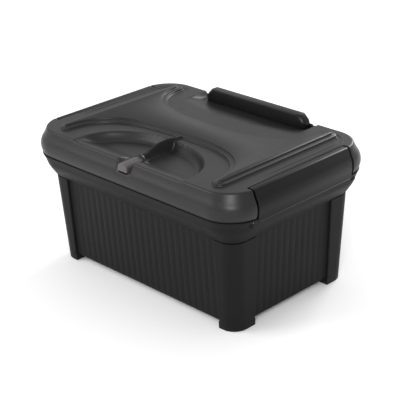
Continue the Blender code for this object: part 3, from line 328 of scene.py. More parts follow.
def scuff_group() -> bpy.types.NodeTree:
    """Fine rubbed streaks and the thin dust that settles on faces that look up."""
    group = bpy.data.node_groups.new(Effect.SCUFF.value, "ShaderNodeTree")
    group_sockets(group, {"Scale": 60.0}, ("Scuff", "Dust"))
    source = group.nodes.new("NodeGroupInput")
    result = group.nodes.new("NodeGroupOutput")
    stretch = group.nodes.new("ShaderNodeMapping")
    stretch.inputs["Scale"].default_value = (1.0, 4.5, 2.2)
    stretch.inputs["Rotation"].default_value = (0.2, 0.1, 0.5)
    group.links.new(source.outputs["Vector"], stretch.inputs["Vector"])
    streak = noise_node(group, stretch.outputs["Vector"], source.outputs["Scale"], 5.0)
    scuff = math_node(group, "MULTIPLY", math_node(group, "SUBTRACT", streak, 0.56), 5.0)
    facing = group.nodes.new("ShaderNodeNewGeometry")
    split = group.nodes.new("ShaderNodeSeparateXYZ")
    group.links.new(facing.outputs["Normal"], split.inputs["Vector"])
    patch = noise_node(group, source.outputs["Vector"], 22.0, 6.0)
    upward = math_node(group, "MULTIPLY", math_node(group, "MAXIMUM", split.outputs["Z"], 0.0), patch)
    clamp = group.nodes.new("ShaderNodeClamp")
    group.links.new(scuff, clamp.inputs["Value"])
    group.links.new(clamp.outputs["Result"], result.inputs["Scuff"])
    group.links.new(upward, result.inputs["Dust"])
    return group


@dataclass(frozen=True)
class Finish:
    """A surface finish and the material made from it.

    Attributes:
        name: the material's name.
        colour: linear colour of a clean area.
        worn: linear colour that scuffs and dust bring in.
        roughness: mean roughness.
        spread: how far roughness wanders either side.
        grain: grain cells per metre.
        depth: height of the grain, in metres.
        metallic: 1 for bare metal.
        specular: specular level of the plain surface.
        dust: how strongly the dust tint shows.
    """

    name: str
    colour: Point
    worn: Point
    roughness: float
    spread: float = 0.08
    grain: float = 900.0
    depth: float = 0.00005
    metallic: float = 0.0
    specular: float = 0.5
    dust: float = 0.3

    @property
    def label(self) -> str:
        """The material's name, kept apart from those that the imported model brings."""
        return self.name + "_finish"

    def build(self) -> bpy.types.Material:
        """Make the node material.

        Returns:
            The new material.

        Raises:
            RuntimeError: when another material already holds the name.
        """
        material = bpy.data.materials.new(self.label)
        if material.name != self.label:
            raise RuntimeError(f"{self.label} is already taken")
        material.use_nodes = True
        tree = material.node_tree
        shader = tree.nodes["Principled BSDF"]
        shader.inputs["Metallic"].default_value = self.metallic
        shader.inputs["Specular IOR Level"].default_value = self.specular
        place = tree.nodes.new("ShaderNodeTexCoord").outputs["Object"]
        grain = tree.nodes.new("ShaderNodeGroup")
        grain.node_tree = bpy.data.node_groups[Effect.GRAIN.value]
        grain.inputs["Scale"].default_value = self.grain
        scuff = tree.nodes.new("ShaderNodeGroup")
        scuff.node_tree = bpy.data.node_groups[Effect.SCUFF.value]
        for node in (grain, scuff):
            tree.links.new(place, node.inputs["Vector"])
        blend = tree.nodes.new("ShaderNodeMix")
        blend.data_type = "RGBA"
        blend.inputs["A"].default_value = (*self.colour, 1.0)
        blend.inputs["B"].default_value = (*self.worn, 1.0)
        marks = math_node(tree, "MULTIPLY", scuff.outputs["Scuff"], 0.22)
        dusty = math_node(tree, "MULTIPLY", scuff.outputs["Dust"], self.dust)
        cloud = math_node(tree, "MULTIPLY", math_node(tree, "SUBTRACT", grain.outputs["Tone"], 0.35), 0.5)
        tint = math_node(tree, "ADD", math_node(tree, "ADD", marks, dusty), cloud)
        tree.links.new(tint, blend.inputs["Factor"])
        tree.links.new(blend.outputs["Result"], shader.inputs["Base Color"])
        wander = math_node(tree, "MULTIPLY", math_node(tree, "SUBTRACT", grain.outputs["Tone"], 0.5),
                           self.spread * 2)
        rough = math_node(tree, "ADD", wander, self.roughness)
        rough = math_node(tree, "ADD", rough,
                          math_node(tree, "MULTIPLY", scuff.outputs["Scuff"], self.spread))
        tree.links.new(rough, shader.inputs["Roughness"])
        bump = tree.nodes.new("ShaderNodeBump")
        bump.inputs["Strength"].default_value = 0.8
        bump.inputs["Distance"].default_value = self.depth
        tree.links.new(grain.outputs["Height"], bump.inputs["Height"])
        tree.links.new(bump.outputs["Normal"], shader.inputs["Normal"])
        return material


LID_PLASTIC = Finish("lid_plastic", (0.0110, 0.0104, 0.0106), (0.024, 0.023, 0.023), 0.38, depth=0.00007,
                     specular=0.30)
TUB_PLASTIC = Finish("tub_plastic", (0.0062, 0.0056, 0.0060), (0.014, 0.0132, 0.0134), 0.50, depth=0.00007,
                     specular=0.12)
CLIP_PLASTIC = Finish("clip_plastic", (0.0050, 0.0047, 0.0050), (0.012, 0.012, 0.012), 0.34, grain=1300.0,
                      depth=0.00002, dust=0.15, specular=0.20)
BUTTON_PLASTIC = Finish("button_plastic", (0.060, 0.053, 0.057), (0.10, 0.09, 0.095), 0.40, grain=1300.0,
                        depth=0.00003)
BLACK_PLASTIC = Finish("black_plastic", (0.014, 0.014, 0.0145), (0.03, 0.03, 0.03), 0.48, grain=1500.0,
                       depth=0.00003)
DRAWN_STEEL = Finish("drawn_steel", (0.50, 0.50, 0.51), (0.36, 0.35, 0.34), 0.30, grain=2200.0, depth=0.00001,
                     metallic=1.0, dust=0.1)
ZINC_PLATE = Finish("zinc_plate", (0.56, 0.565, 0.575), (0.40, 0.39, 0.36), 0.34, grain=1800.0, depth=0.00001,
                    metallic=1.0, dust=0.1)
SPRING_WIRE = Finish("spring_wire", (0.42, 0.42, 0.43), (0.3, 0.29, 0.28), 0.28, grain=2200.0, depth=0.00001,
                     metallic=1.0, dust=0.05)
POWDER_COAT = Finish("powder_coat", (0.016, 0.016, 0.0165), (0.045, 0.044, 0.043), 0.50, grain=1100.0,
                     depth=0.00006)
CAST_BRASS = Finish("cast_brass", (0.60, 0.43, 0.17), (0.34, 0.24, 0.11), 0.34, grain=1400.0, depth=0.00003,
                    metallic=1.0, dust=0.15)
MAT_RUBBER = Finish("mat_rubber", (0.015, 0.015, 0.015), (0.05, 0.048, 0.045), 0.78, grain=700.0,
                    depth=0.0001,
                    dust=0.5)
SEAL_RUBBER = Finish("seal_rubber", (0.018, 0.018, 0.018), (0.04, 0.04, 0.04), 0.70, grain=1800.0,
                     depth=0.00003)
FINISHES = (LID_PLASTIC, TUB_PLASTIC, CLIP_PLASTIC, BUTTON_PLASTIC, BLACK_PLASTIC, DRAWN_STEEL, ZINC_PLATE,
            SPRING_WIRE, POWDER_COAT, CAST_BRASS, MAT_RUBBER, SEAL_RUBBER)


def dress(piece: bpy.types.Object, finish: Finish) -> None:
    """Give a piece one finish in place of whatever material it had."""
    piece.data.materials.clear()
    piece.data.materials.append(bpy.data.materials[finish.label])


def settle(piece: bpy.types.Object, body: str, node: str, finish: Finish) -> None:
    """Ride a new piece on its body, let it stand for its plain node, and dress it.

    Args:
        piece: the new piece.
        body: the body it moves with.
        node: the plain node it stands for.
        finish: its finish.
    """
    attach(piece, body)
    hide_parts(node)
    dress(piece, finish)
    LOG.info("%s on %s, %d faces", piece.name, body, len(piece.data.polygons))


# Lid --------------------------------------------------------------------------------


@dataclass
class LidMoulding:
    """The lid: a thin shell with two finger wells, a raised field, a ridge and a rear scoop."""

    half_x: float = 0.250
    half_y: float = 0.171
    top: float = 0.255
    bottom: float = 0.2093
    edge_inset: float = 0.0120
    top_radius: float = 0.0555
    radius: float = 0.056
    skin: float = 0.003
    window_x: float = 0.2275
    window_half: float = 0.1162
    rear_window: float = 0.135
    rear_window_y: float = 0.1618
    pocket_half: float = 0.0114
    cheek_level: float = -0.0095
    cheek_half: float = 0.0140
    cheek_side: float = 0.0045
    cheek_rear: float = 0.1300
    cheek_run: float = 0.008
    pocket_rear: float = -0.1341
    pocket_floor: float = 0.2325
    well_half: float = 0.135
    well_front: float = 0.160
    well_reach: float = 0.107
    well_depth: float = 0.0145
    well_round: float = 2.3
    well_wall: float = 0.24
    lip_share: float = 0.16
    lip_run: float = 0.045
    blade: float = 0.0007
    blade_foot: float = 0.0050
    blade_top: float = 0.0022
    ridge_front: float = 0.136
    ridge_rise: float = 0.010
    waist: float = 0.036
    bay_centre: float = 0.150
    bay_x: float = 0.174
    bay_round: float = 2.8
    bay_mouth: float = 0.006
    field_x: float = 0.198
    field_y: float = 0.143
    nose_share: float = 0.62
    scoop_half: float = 0.135
    scoop_front: float = 0.078
    scoop_back: float = 0.1415
    scoop_depth: float = 0.0090
    scoop_wall: float = 0.085
    scoop_bow: float = 0.020
    scoop_run: float = 0.058
    dome_size: tuple[float, float, float] = (0.0125, 0.0090, 0.0160)
    dome_y: float = -0.1296
    dome_drop: float = 0.0165
    columns: int = 216
    rows: int = 140
    skirt: tuple[tuple[float, float, float], ...] = (
        (0.0108, -0.0001, 0.0555), (0.0098, -0.0006, 0.0555), (0.0091, -0.0014, 0.0555),
        (0.0086, -0.0028, 0.0555), (0.0072, -0.0070, 0.0557), (0.0054, -0.0120, 0.0560),
        (0.0036, -0.0160, 0.0560), (0.0017, -0.0205, 0.0560), (0.0005, -0.0255, 0.0560),
        (0.0000, -0.0310, 0.0560), (0.0003, -0.0360, 0.0560), (0.0010, -0.0400, 0.0560),
        (0.0019, -0.0430, 0.0560), (0.0030, -0.0457, 0.0560))
    crest: tuple[Plan, ...] = ((-0.136, -0.0105), (-0.127, -0.0085), (-0.116, -0.0030), (-0.106, 0.0022),
                               (-0.096, 0.0052), (-0.088, 0.0070), (-0.070, 0.0082), (-0.055, 0.0066),
                               (-0.040, 0.0040))

    def height(self, x: float, y: float) -> float:
        """Height of the lid's upper face above its top edge at a place in plan."""
        side = abs(x)
        rim = ((side / self.well_half) ** self.well_round
               + (max(0.0, y + self.well_front) / self.well_reach) ** self.well_round)
        bowl = 1.0 - (1.0 - min(1.0, max(0.0, (1.0 - rim) / self.well_wall))) ** 2
        spine = smoothstep((side - self.blade) / self.blade_foot)
        front = self.lip_share + (1.0 - self.lip_share) * smoothstep((y + self.well_front) / self.lip_run)
        level = -self.well_depth * bowl * spine * front
        reach = min(1.0, max(0.0, 1.0 - side / self.scoop_half) / self.scoop_wall)
        fall = smoothstep((y - self.scoop_front) / (self.scoop_back - self.scoop_front))
        bow = self.scoop_bow * (x / self.scoop_half) ** 2
        bowed = smoothstep((y - self.scoop_front - bow) / self.scoop_run)
        level -= self.scoop_depth * (1.0 - (1.0 - reach) ** 2) * min(fall, bowed)
        cheek = ((1.0 - smoothstep((side - self.cheek_half) / self.cheek_side))
                 * (1.0 - smoothstep((y + self.cheek_rear) / self.cheek_run)))
        level += (self.cheek_level - level) * cheek
        if y < -self.waist:
            crest = along(y, self.crest)
            share = ((1.0 - smoothstep((side - self.blade) / self.blade_top))
                     * smoothstep((y + self.ridge_front) / self.ridge_rise))
            level += (crest - level) * share
        return level

    def plan(self, x: float, y: float) -> Plan:
        """Pull a place in the bounding rectangle inside the top edge's rounded corners."""
        radius = self.top_radius
        reach_x = self.half_x - self.edge_inset - radius
        reach_y = self.half_y - self.edge_inset - radius
        s, t = (abs(x) - reach_x) / radius, (abs(y) - reach_y) / radius
        if s <= 0 or t <= 0:
            return x, y
        return (math.copysign(reach_x + radius * s * math.sqrt(1 - t * t / 2), x),
                math.copysign(reach_y + radius * t * math.sqrt(1 - s * s / 2), y))

    def outward(self, x: float, y: float, inset: float, radius: float) -> Plan:
        """Carry a point of the top edge out to a lower ring of the skirt."""
        old_x = self.half_x - self.edge_inset - self.top_radius
        old_y = self.half_y - self.edge_inset - self.top_radius
        new_x, new_y = self.half_x - inset - radius, self.half_y - inset - radius
        if abs(x) > old_x and abs(y) > old_y:
            angle = math.atan2(abs(y) - old_y, abs(x) - old_x)
            return (math.copysign(new_x + radius * math.cos(angle), x),
                    math.copysign(new_y + radius * math.sin(angle), y))
        if abs(x) > old_x:
            return math.copysign(self.half_x - inset, x), y / old_y * new_y
        return x / old_x * new_x, math.copysign(self.half_y - inset, y)

    def face_and_skirt(self) -> bmesh.types.BMesh:
        """The lid's upper face and skirt as one thin sheet."""
        made = bmesh.new()
        bmesh.ops.create_grid(made, x_segments=self.columns, y_segments=self.rows, size=1.0)
        end_x, end_y = self.half_x - self.edge_inset, self.half_y - self.edge_inset
        across = ((-1.0, -end_x), (-0.80, -0.142), (-0.14, -0.010), (0.14, 0.010), (0.80, 0.142),
                  (1.0, end_x))
        deep = ((-1.0, -end_y), (0.0, -0.030), (0.24, 0.072), (0.84, 0.146), (1.0, end_y))
        for vert in made.verts:
            x, y = self.plan(along(vert.co.x, across), along(vert.co.y, deep))
            vert.co = (x, y, self.top + self.height(x, y))
        edges = [edge for edge in made.edges if edge.is_boundary]
        start = {vert: vert.co.copy() for edge in edges for vert in edge.verts}
        for inset, drop, radius in self.skirt:
            grown = bmesh.ops.extrude_edge_only(made, edges=edges)["geom"]
            fresh = {item for item in grown if isinstance(item, bmesh.types.BMVert)}
            moved = {}
            for vert, home in start.items():
                twin = next(e.other_vert(vert) for e in vert.link_edges if e.other_vert(vert) in fresh)
                x, y = self.outward(home.x, home.y, inset, radius)
                dip = (home.z - self.top) * max(0.0, 1.0 + drop / 0.030)
                twin.co = (x, y, self.top + drop + dip)
                moved[twin] = home
            start = moved
            edges = [item for item in grown if isinstance(item, bmesh.types.BMEdge)
                     and all(vert in fresh for vert in item.verts)]
        bmesh.ops.recalc_face_normals(made, faces=made.faces)
        return made

    def cut_windows(self, made: bmesh.types.BMesh) -> None:
        """Open the sheet where the end clips, the hinge leaf and the latch button sit."""
        planes = [((side * self.window_x, 0, 0), (1, 0, 0)) for side in (-1, 1)]
        planes += [((0, side * self.window_half, 0), (0, 1, 0)) for side in (-1, 1)]
        planes += [((side * self.rear_window, 0, 0), (1, 0, 0)) for side in (-1, 1)]
        planes += [((side * self.pocket_half, 0, 0), (1, 0, 0)) for side in (-1, 1)]
        planes += [((0, self.rear_window_y, 0), (0, 1, 0)), ((0, self.pocket_rear, 0), (0, 1, 0)),
                   ((0, 0, self.pocket_floor), (0, 0, 1))]
        for point, normal in planes:
            bmesh.ops.bisect_plane(made, geom=made.verts[:] + made.edges[:] + made.faces[:], dist=1e-6,
                                   plane_co=point, plane_no=normal)
        gone = []
        for face in made.faces:
            x, y, z = face.calc_center_median()
            clip = abs(x) > self.window_x and abs(y) < self.window_half
            rear = abs(x) < self.rear_window and y > self.rear_window_y
            latch = abs(x) < self.pocket_half and y < self.pocket_rear and z > self.pocket_floor
            if clip or rear or latch:
                gone.append(face)
        bmesh.ops.delete(made, geom=gone, context="FACES")

    def skirt_section(self, inner: float, reach: Callable[[float], float]) -> list[Plan]:
        """The skirt's profile closed by an upright line, for a wall across the end of a window."""
        curve = [(reach(inset + 0.0004), self.top + drop - 0.0003) for inset, drop, _ in self.skirt[3:]]
        return [(inner, self.top - 0.0028), *curve, (inner, self.bottom)]

    def liners(self) -> list[bmesh.types.BMesh]:
        """The walls that close the skirt behind each window, and the button's pocket."""
        parts = []
        section = self.skirt_section(self.window_x - self.skin, lambda inset: self.half_x - inset)
        for low, high in ((self.window_half, self.window_half + self.skin),
                          (-self.window_half - self.skin, -self.window_half)):
            wall = extruded(section, low, high, "Y")
            parts += [mirrored(wall), wall]
        back = slab((self.window_x - self.skin, -self.window_half - self.skin, self.bottom),
                    (self.window_x, self.window_half + self.skin, self.top - 0.0006), 0.0005, 1)
        parts += [mirrored(back), back]
        section = self.skirt_section(self.rear_window_y - self.skin, lambda inset: self.half_y - inset)
        wall = extruded(section, self.rear_window, self.rear_window + self.skin, "X")
        parts += [mirrored(wall), wall]
        parts.append(slab((-self.rear_window - self.skin, self.rear_window_y - self.skin, self.bottom),
                          (self.rear_window + self.skin, self.rear_window_y, self.top - 0.0045)))
        half, front = self.pocket_half, -self.half_y + 0.0052
        cheek = slab((half, front + 0.0006, 0.2235),
                     (half + 0.0042, self.pocket_rear + 0.003, self.top - 0.0094),
                     0.0011, 3)
        parts += [mirrored(cheek), cheek]
        parts.append(slab((-half - 0.003, self.pocket_rear, 0.2235),
                          (half + 0.003, self.pocket_rear + 0.0145, self.top - 0.0100), 0.001, 2))
        parts.append(slab((-half - 0.001, front - 0.0030, 0.2262),
                          (half + 0.001, -0.1480, self.pocket_floor)))
        parts.append(slab((-half - 0.001, -0.1430, 0.2235), (half + 0.001, self.pocket_rear + 0.002,
                                                             self.pocket_floor)))
        return parts

    def field_outline(self, offset: float, steps: int = 30) -> list[Plan]:
        """The raised field in plan: a rounded rectangle with a bay bitten from each long side.

        Args:
            offset: how far the outline is drawn in; negative pushes it out.
            steps: pieces in a quarter of each bay.

        Returns:
            The outline's points, anticlockwise.
        """
        half_x, half_y, centre = self.field_x - offset, self.field_y - offset, self.bay_centre
        bay_x, bay_y, power = self.bay_x + offset, centre - self.waist + offset, self.bay_round
        cross = bay_x * (1 - ((centre - half_y + self.bay_mouth) / bay_y) ** power) ** (1 / power)
        nose = (half_x - cross) * self.nose_share
        quarter = arc((half_x - nose, half_y - nose), nose, 0, 90, 12)
        first = math.acos((cross / bay_x) ** (power / 2))
        bay = []
        for index in range(steps + 1):
            angle = first + (math.pi / 2 - first) * index / steps
            bay.append((bay_x * max(0.0, math.cos(angle)) ** (2 / power),
                        centre - bay_y * math.sin(angle) ** (2 / power)))
        side = quarter + bay
        points = side + [(-x, y) for x, y in reversed(side[:-1])]
        return points + [(-x, -y) for x, y in side] + [(x, -y) for x, y in reversed(side[:-1])]

    def raised_field(self) -> bmesh.types.BMesh:
        """The two low steps of the raised field, with a soft foot and a soft brow to each."""
        brow = ((-0.0016, -0.0008), (-0.0014, -0.0001), (-0.0007, 0.0003), (-0.0002, 0.0010),
                (0.0000, 0.0020),
                (0.0001, 0.0029), (0.0004, 0.0034), (0.0010, 0.0038))
        second = ((0.0064, 0.0038), (0.0073, 0.0041), (0.0078, 0.0047), (0.0080, 0.0057), (0.0081, 0.0067),
                  (0.0084, 0.0072), (0.0090, 0.0076))
        return loft([[(x, y, self.top + rise) for x, y in self.field_outline(offset)]
                     for offset, rise in brow + second])

    def edge_beads(self) -> list[bmesh.types.BMesh]:
        """Two thin raised lines that follow each end of the lid and round its rear corner."""
        parts = []
        for inset, reach in ((0.0258, 0.058), (0.0335, 0.062)):
            x, y = self.half_x - inset, self.half_y - inset
            bend = self.radius - inset * 0.55
            path = [(x, -0.100 + inset), (x, -0.04), (x, 0.02)]
            path += arc((x - bend, y - bend), bend, 0, 90, 14) + [(x - bend - reach * 0.35, y)]
            rings = []
            for index, (here_x, here_y) in enumerate(path):
                before, after = path[max(index - 1, 0)], path[min(index + 1, len(path) - 1)]
                way = Vector((after[0] - before[0], after[1] - before[1], 0)).normalized()
                out = Vector((way.y, -way.x, 0))
                grow = 0.25 if index in (0, len(path) - 1) else 1.0
                wide, tall = 0.0011 * grow, 0.0006 * grow
                rings.append([tuple(Vector((here_x, here_y, self.top + rise)) + out * shift)
                              for shift, rise in ((-wide, -0.0008), (-wide * 0.8, tall * 0.3),
                                                  (-wide * 0.35, tall), (wide * 0.35, tall),
                                                  (wide * 0.8, tall * 0.3), (wide, -0.0008))])
            bead = loft(rings)
            parts += [mirrored(bead), bead]
        return parts

    def dome(self) -> bmesh.types.BMesh:
        """The rounded hump between the button and the ridge."""
        made = bmesh.new()
        bmesh.ops.create_uvsphere(made, u_segments=36, v_segments=20, radius=1.0)
        bmesh.ops.scale(made, verts=made.verts, vec=self.dome_size)
        bmesh.ops.translate(made, verts=made.verts, vec=(0, self.dome_y, self.top - self.dome_drop))
        return made

    def build(self) -> None:
        """Make the whole moulding as one piece."""
        shell = self.face_and_skirt()
        self.cut_windows(shell)
        bmesh.ops.solidify(shell, geom=shell.faces[:], thickness=self.skin)
        parts = [shell, self.raised_field(), self.dome(), *self.liners(), *self.edge_beads()]
        piece = finish_piece("lid_moulding", join(parts), 40.0)
        settle(piece, "lid", "lid_shell", LID_PLASTIC)


# Tub --------------------------------------------------------------------------------


@dataclass
class TubMoulding:
    """The tub: fluted side panels between four corner posts, under a flared collar."""

    rim: float = 0.2085
    post_top: float = 0.1640
    post_x: float = 0.2245
    post_y: float = 0.1455
    draft: float = 0.048
    post_radius: float = 0.027
    post_edge_x: float = 0.1805
    post_edge_y: float = 0.0905
    recess: float = 0.005
    wall: float = 0.0035
    foot: float = 0.0115
    floor: float = 0.0155
    pitch: float = 0.0150
    flute: float = 0.0006
    flute_half: float = 0.0042
    half_x: float = 0.250
    half_y: float = 0.171

    def stations(self, reach: float) -> list[tuple[float, float]]:
        """Places along half a panel, from its middle, with each one's share of a flute's depth."""
        places = [(0.0, 0.0)]
        centre = self.pitch / 2
        while centre + self.flute_half < reach - 0.002:
            for step, share in ((-1.0, 0.0), (-0.6, 0.45), (-0.25, 0.92),
                                (0.25, 0.92), (0.6, 0.45), (1.0, 0.0)):
                places.append((centre + step * self.flute_half, share))
            centre += self.pitch
        return places

    def ring(self, z: float, half_x: float, half_y: float, radius: float, recess: float = 0.0,
             flute: float = 0.0) -> Ring:
        """One level ring of the tub.

        Args:
            z: its height.
            half_x: half its length.
            half_y: half its depth.
            radius: corner radius in plan.
            recess: how far the panels lie behind the posts.
            flute: depth of the flutes in the panels.

        Returns:
            The ring's points, anticlockwise.
        """
        quarter: list[Plan] = []
        for y, share in self.stations(self.post_edge_y):
            quarter.append((half_x - recess - share * flute, y))
        soft = min(0.0012, recess)
        quarter += [(half_x - recess, self.post_edge_y - 0.0008),
                    (half_x - recess + soft * 0.4, self.post_edge_y),
                    (half_x - soft, self.post_edge_y + 0.0004), (half_x, self.post_edge_y + 0.0018)]
        quarter += arc((half_x - radius, half_y - radius), radius, 0, 90, 16)
        quarter += [(self.post_edge_x + 0.0018, half_y), (self.post_edge_x + 0.0004, half_y - soft),
                    (self.post_edge_x, half_y - recess + soft * 0.4),
                    (self.post_edge_x - 0.0008, half_y - recess)]
        for x, share in reversed(self.stations(self.post_edge_x)):
            quarter.append((x, half_y - recess - share * flute))
        top = quarter + [(-x, y) for x, y in reversed(quarter[:-1])]
        points = top + [(x, -y) for x, y in reversed(top[1:-1])]
        return [(x, y, z) for x, y in points]

    def wall_ring(self, z: float, flute: float = 0.0, inset: float = 0.0,
                  recess: float | None = None) -> Ring:
        """A ring of the drafted wall with its posts."""
        lean = (self.post_top - z) * self.draft + inset
        return self.ring(z, self.post_x - lean, self.post_y - lean, self.post_radius,
                         self.recess if recess is None else recess, flute)

    def collar_ring(self, z: float, inset: float, radius: float) -> Ring:
        """A ring of the flared collar."""
        return self.ring(z, self.half_x - inset, self.half_y - inset, radius)

    def shell(self) -> bmesh.types.BMesh:
        """Outside, rim and inside as one closed skin."""
        inner = self.recess + self.wall
        rings = [self.wall_ring(self.foot, 0.0, 0.0016), self.wall_ring(self.foot + 0.0006, 0.0, 0.0006),
                 self.wall_ring(self.foot + 0.0018), self.wall_ring(self.foot + 0.0050),
                 self.wall_ring(self.foot + 0.0062, self.flute), self.wall_ring(0.060, self.flute),
                 self.wall_ring(0.110, self.flute), self.wall_ring(self.post_top - 0.0050, self.flute),
                 self.wall_ring(self.post_top - 0.0040),
                 self.wall_ring(self.post_top - 0.0012),
                 self.wall_ring(self.post_top - 0.0006, 0.0, 0.0038, 0.0012),
                 self.collar_ring(0.2010, 0.0340, 0.026), self.collar_ring(0.2055, 0.0055, 0.052),
                 self.collar_ring(0.1920, 0.0095, 0.052), self.collar_ring(0.1780, 0.0185, 0.042),
                 self.collar_ring(self.post_top + 0.0002, 0.0285, 0.028),
                 self.collar_ring(self.post_top - 0.0004, 0.0272, 0.0285),
                 self.collar_ring(self.post_top, 0.0258, 0.0290),
                 self.collar_ring(self.post_top + 0.0012, 0.0248, 0.0300)]
        slope = [(0.1695, 0.0212, 0.0340), (0.1750, 0.0172, 0.0390), (0.1810, 0.0128, 0.0450),
                 (0.1860, 0.0094, 0.0505), (0.1895, 0.0076, 0.0530), (0.1925, 0.0066, 0.0540),
                 (0.1960, 0.0057, 0.0545), (0.2010, 0.0040, 0.0552), (0.2055, 0.0022, 0.0558),
                 (0.2074, 0.0016, 0.0560), (0.2082, 0.0020, 0.0560), (0.2085, 0.0029, 0.0555)]
        rings += [self.collar_ring(z, inset, radius) for z, inset, radius in slope]
        rings += [self.wall_ring(self.rim, 0.0, inner - self.recess),
                  self.wall_ring(self.rim - 0.0010, 0.0, inner, 0.0),
                  self.wall_ring(0.120, 0.0, inner, 0.0),
                  self.wall_ring(self.floor + 0.0090, 0.0, inner, 0.0),
                  self.wall_ring(self.floor + 0.0026, 0.0, inner + 0.0016, 0.0),
                  self.wall_ring(self.floor, 0.0, inner + 0.0070, 0.0)]
        return loft(rings)

    def feet(self) -> list[bmesh.types.BMesh]:
        """The four corner posts below the floor."""
        parts = []
        for end in (-1, 1):
            rings = []
            for z, inset in ((0.0, 0.0018), (0.0005, 0.0006), (0.0016, 0.0), (0.0135, 0.0)):
                lean = (self.post_top - z) * self.draft + inset
                x, y, radius = self.post_x - lean, self.post_y - lean, self.post_radius
                low_x, low_y = self.post_edge_x + inset, self.post_edge_y + inset
                plan = [(low_x, low_y), (x, low_y), *arc((x - radius, y - radius), radius, 0, 90, 16),
                        (low_x, y)]
                rings.append([(px, end * py, z) for px, py in plan])
            foot = loft(rings)
            parts += [mirrored(foot), foot]
        return parts

    def fittings(self) -> list[bmesh.types.BMesh]:
        """Pin ears, hinge ears, rod bosses, gland pads and the latch keeper."""
        parts = []
        for end in (-1, 1):
            low, high = sorted((end * 0.1162, end * 0.1252))
            ear = slab((0.2390, low, 0.1955), (0.2462, high, 0.2070), 0.0014, 3)
            parts += [mirrored(ear), ear]
        section = arc((0.168, 0.2099), 0.0030, 0, 180, 14) + [(0.165, 0.2025), (0.1685, 0.2025)]
        ear = extruded(section, 0.1228, 0.1310, "X", 0.0005)
        parts += [mirrored(ear), ear]
        boss = turned([(0, 0), (0.0100, 0), (0.0090, 0.0030), (0.0086, 0.0150), (0.0080, 0.0165),
                       (0, 0.0165)],
                      (0.1939, 0, 0.0145), Matrix.Identity(4))
        parts += [mirrored(boss), boss]
        for x, radius in ((-0.1505, 0.0165), (0.1505, 0.0165), (0.0, 0.0185)):
            face = self.post_y - (self.post_top - 0.1325) * self.draft - self.recess
            parts.append(turned([(0, -0.0060), (radius, -0.0060), (radius, 0.0007),
                                 (radius - 0.0006, 0.0012), (0, 0.0012)],
                                (x, face, 0.1325), Matrix.Rotation(-math.pi / 2, 4, "X")))
        parts.append(slab((-0.0100, -0.1642, 0.2060), (0.0100, -0.1612, 0.2164), 0.0005, 2))
        parts.append(slab((-0.0100, -0.1642, 0.2140), (-0.0080, -0.1612, 0.2251), 0.0004, 2))
        parts.append(slab((0.0080, -0.1642, 0.2140), (0.0100, -0.1612, 0.2251), 0.0004, 2))
        return parts

    def build(self) -> None:
        """Make the whole moulding as one piece."""
        piece = finish_piece("tub_moulding", join([self.shell(), *self.feet(), *self.fittings()]), 38.0)
        settle(piece, "tub", "tub_shell", TUB_PLASTIC)


# End clips, hinge leaf and grip bar -------------------------------------------------


@dataclass
class EndClip:
    """An end clip: a bulging plate with a lip over the lid and a bead round its pin."""

    side: int
    half: float = 0.1120
    pin: Plan = (0.245, 0.2045)
    bead: float = 0.0036
    bore: float = 0.0019
    outer: tuple[Plan, ...] = ((0.2367, 0.2550), (0.2388, 0.2547), (0.2404, 0.2538), (0.2414, 0.2522),
                               (0.2424, 0.2495), (0.2450, 0.2425), (0.2474, 0.2380), (0.2490, 0.2320),
                               (0.2498, 0.2275), (0.2500, 0.2240), (0.2499, 0.2200), (0.2496, 0.2170))
    inner: tuple[Plan, ...] = ((0.2456, 0.2122), (0.2463, 0.2180), (0.2467, 0.2240), (0.2462, 0.2300),
                               (0.2448, 0.2355), (0.2419, 0.2418), (0.2392, 0.2478), (0.2378, 0.2503),
                               (0.2350, 0.2514))

    def section(self) -> list[Plan]:
        """The clip's outline in X and Z."""
        lip = [(0.2283, 0.2520), (0.2281, 0.2535), (0.2285, 0.2545), (0.2296, 0.2549)]
        bead = arc(self.pin, self.bead, 22, -215, 22)
        return lip + rounded_curve(self.outer, 3) + bead + rounded_curve(self.inner, 3)

    def build(self) -> None:
        """Make the clip on its own end of the box."""
        made = extruded(self.section(), -self.half, self.half, "Y", 0.0007)
        name, body = ("right", "right_clip") if self.side > 0 else ("left", "left_clip")
        if self.side < 0:
            made = mirrored(made)
        piece = finish_piece(name + "_clip_plate", made, 35.0)
        settle(piece, body, name + "_end_clip", CLIP_PLASTIC)


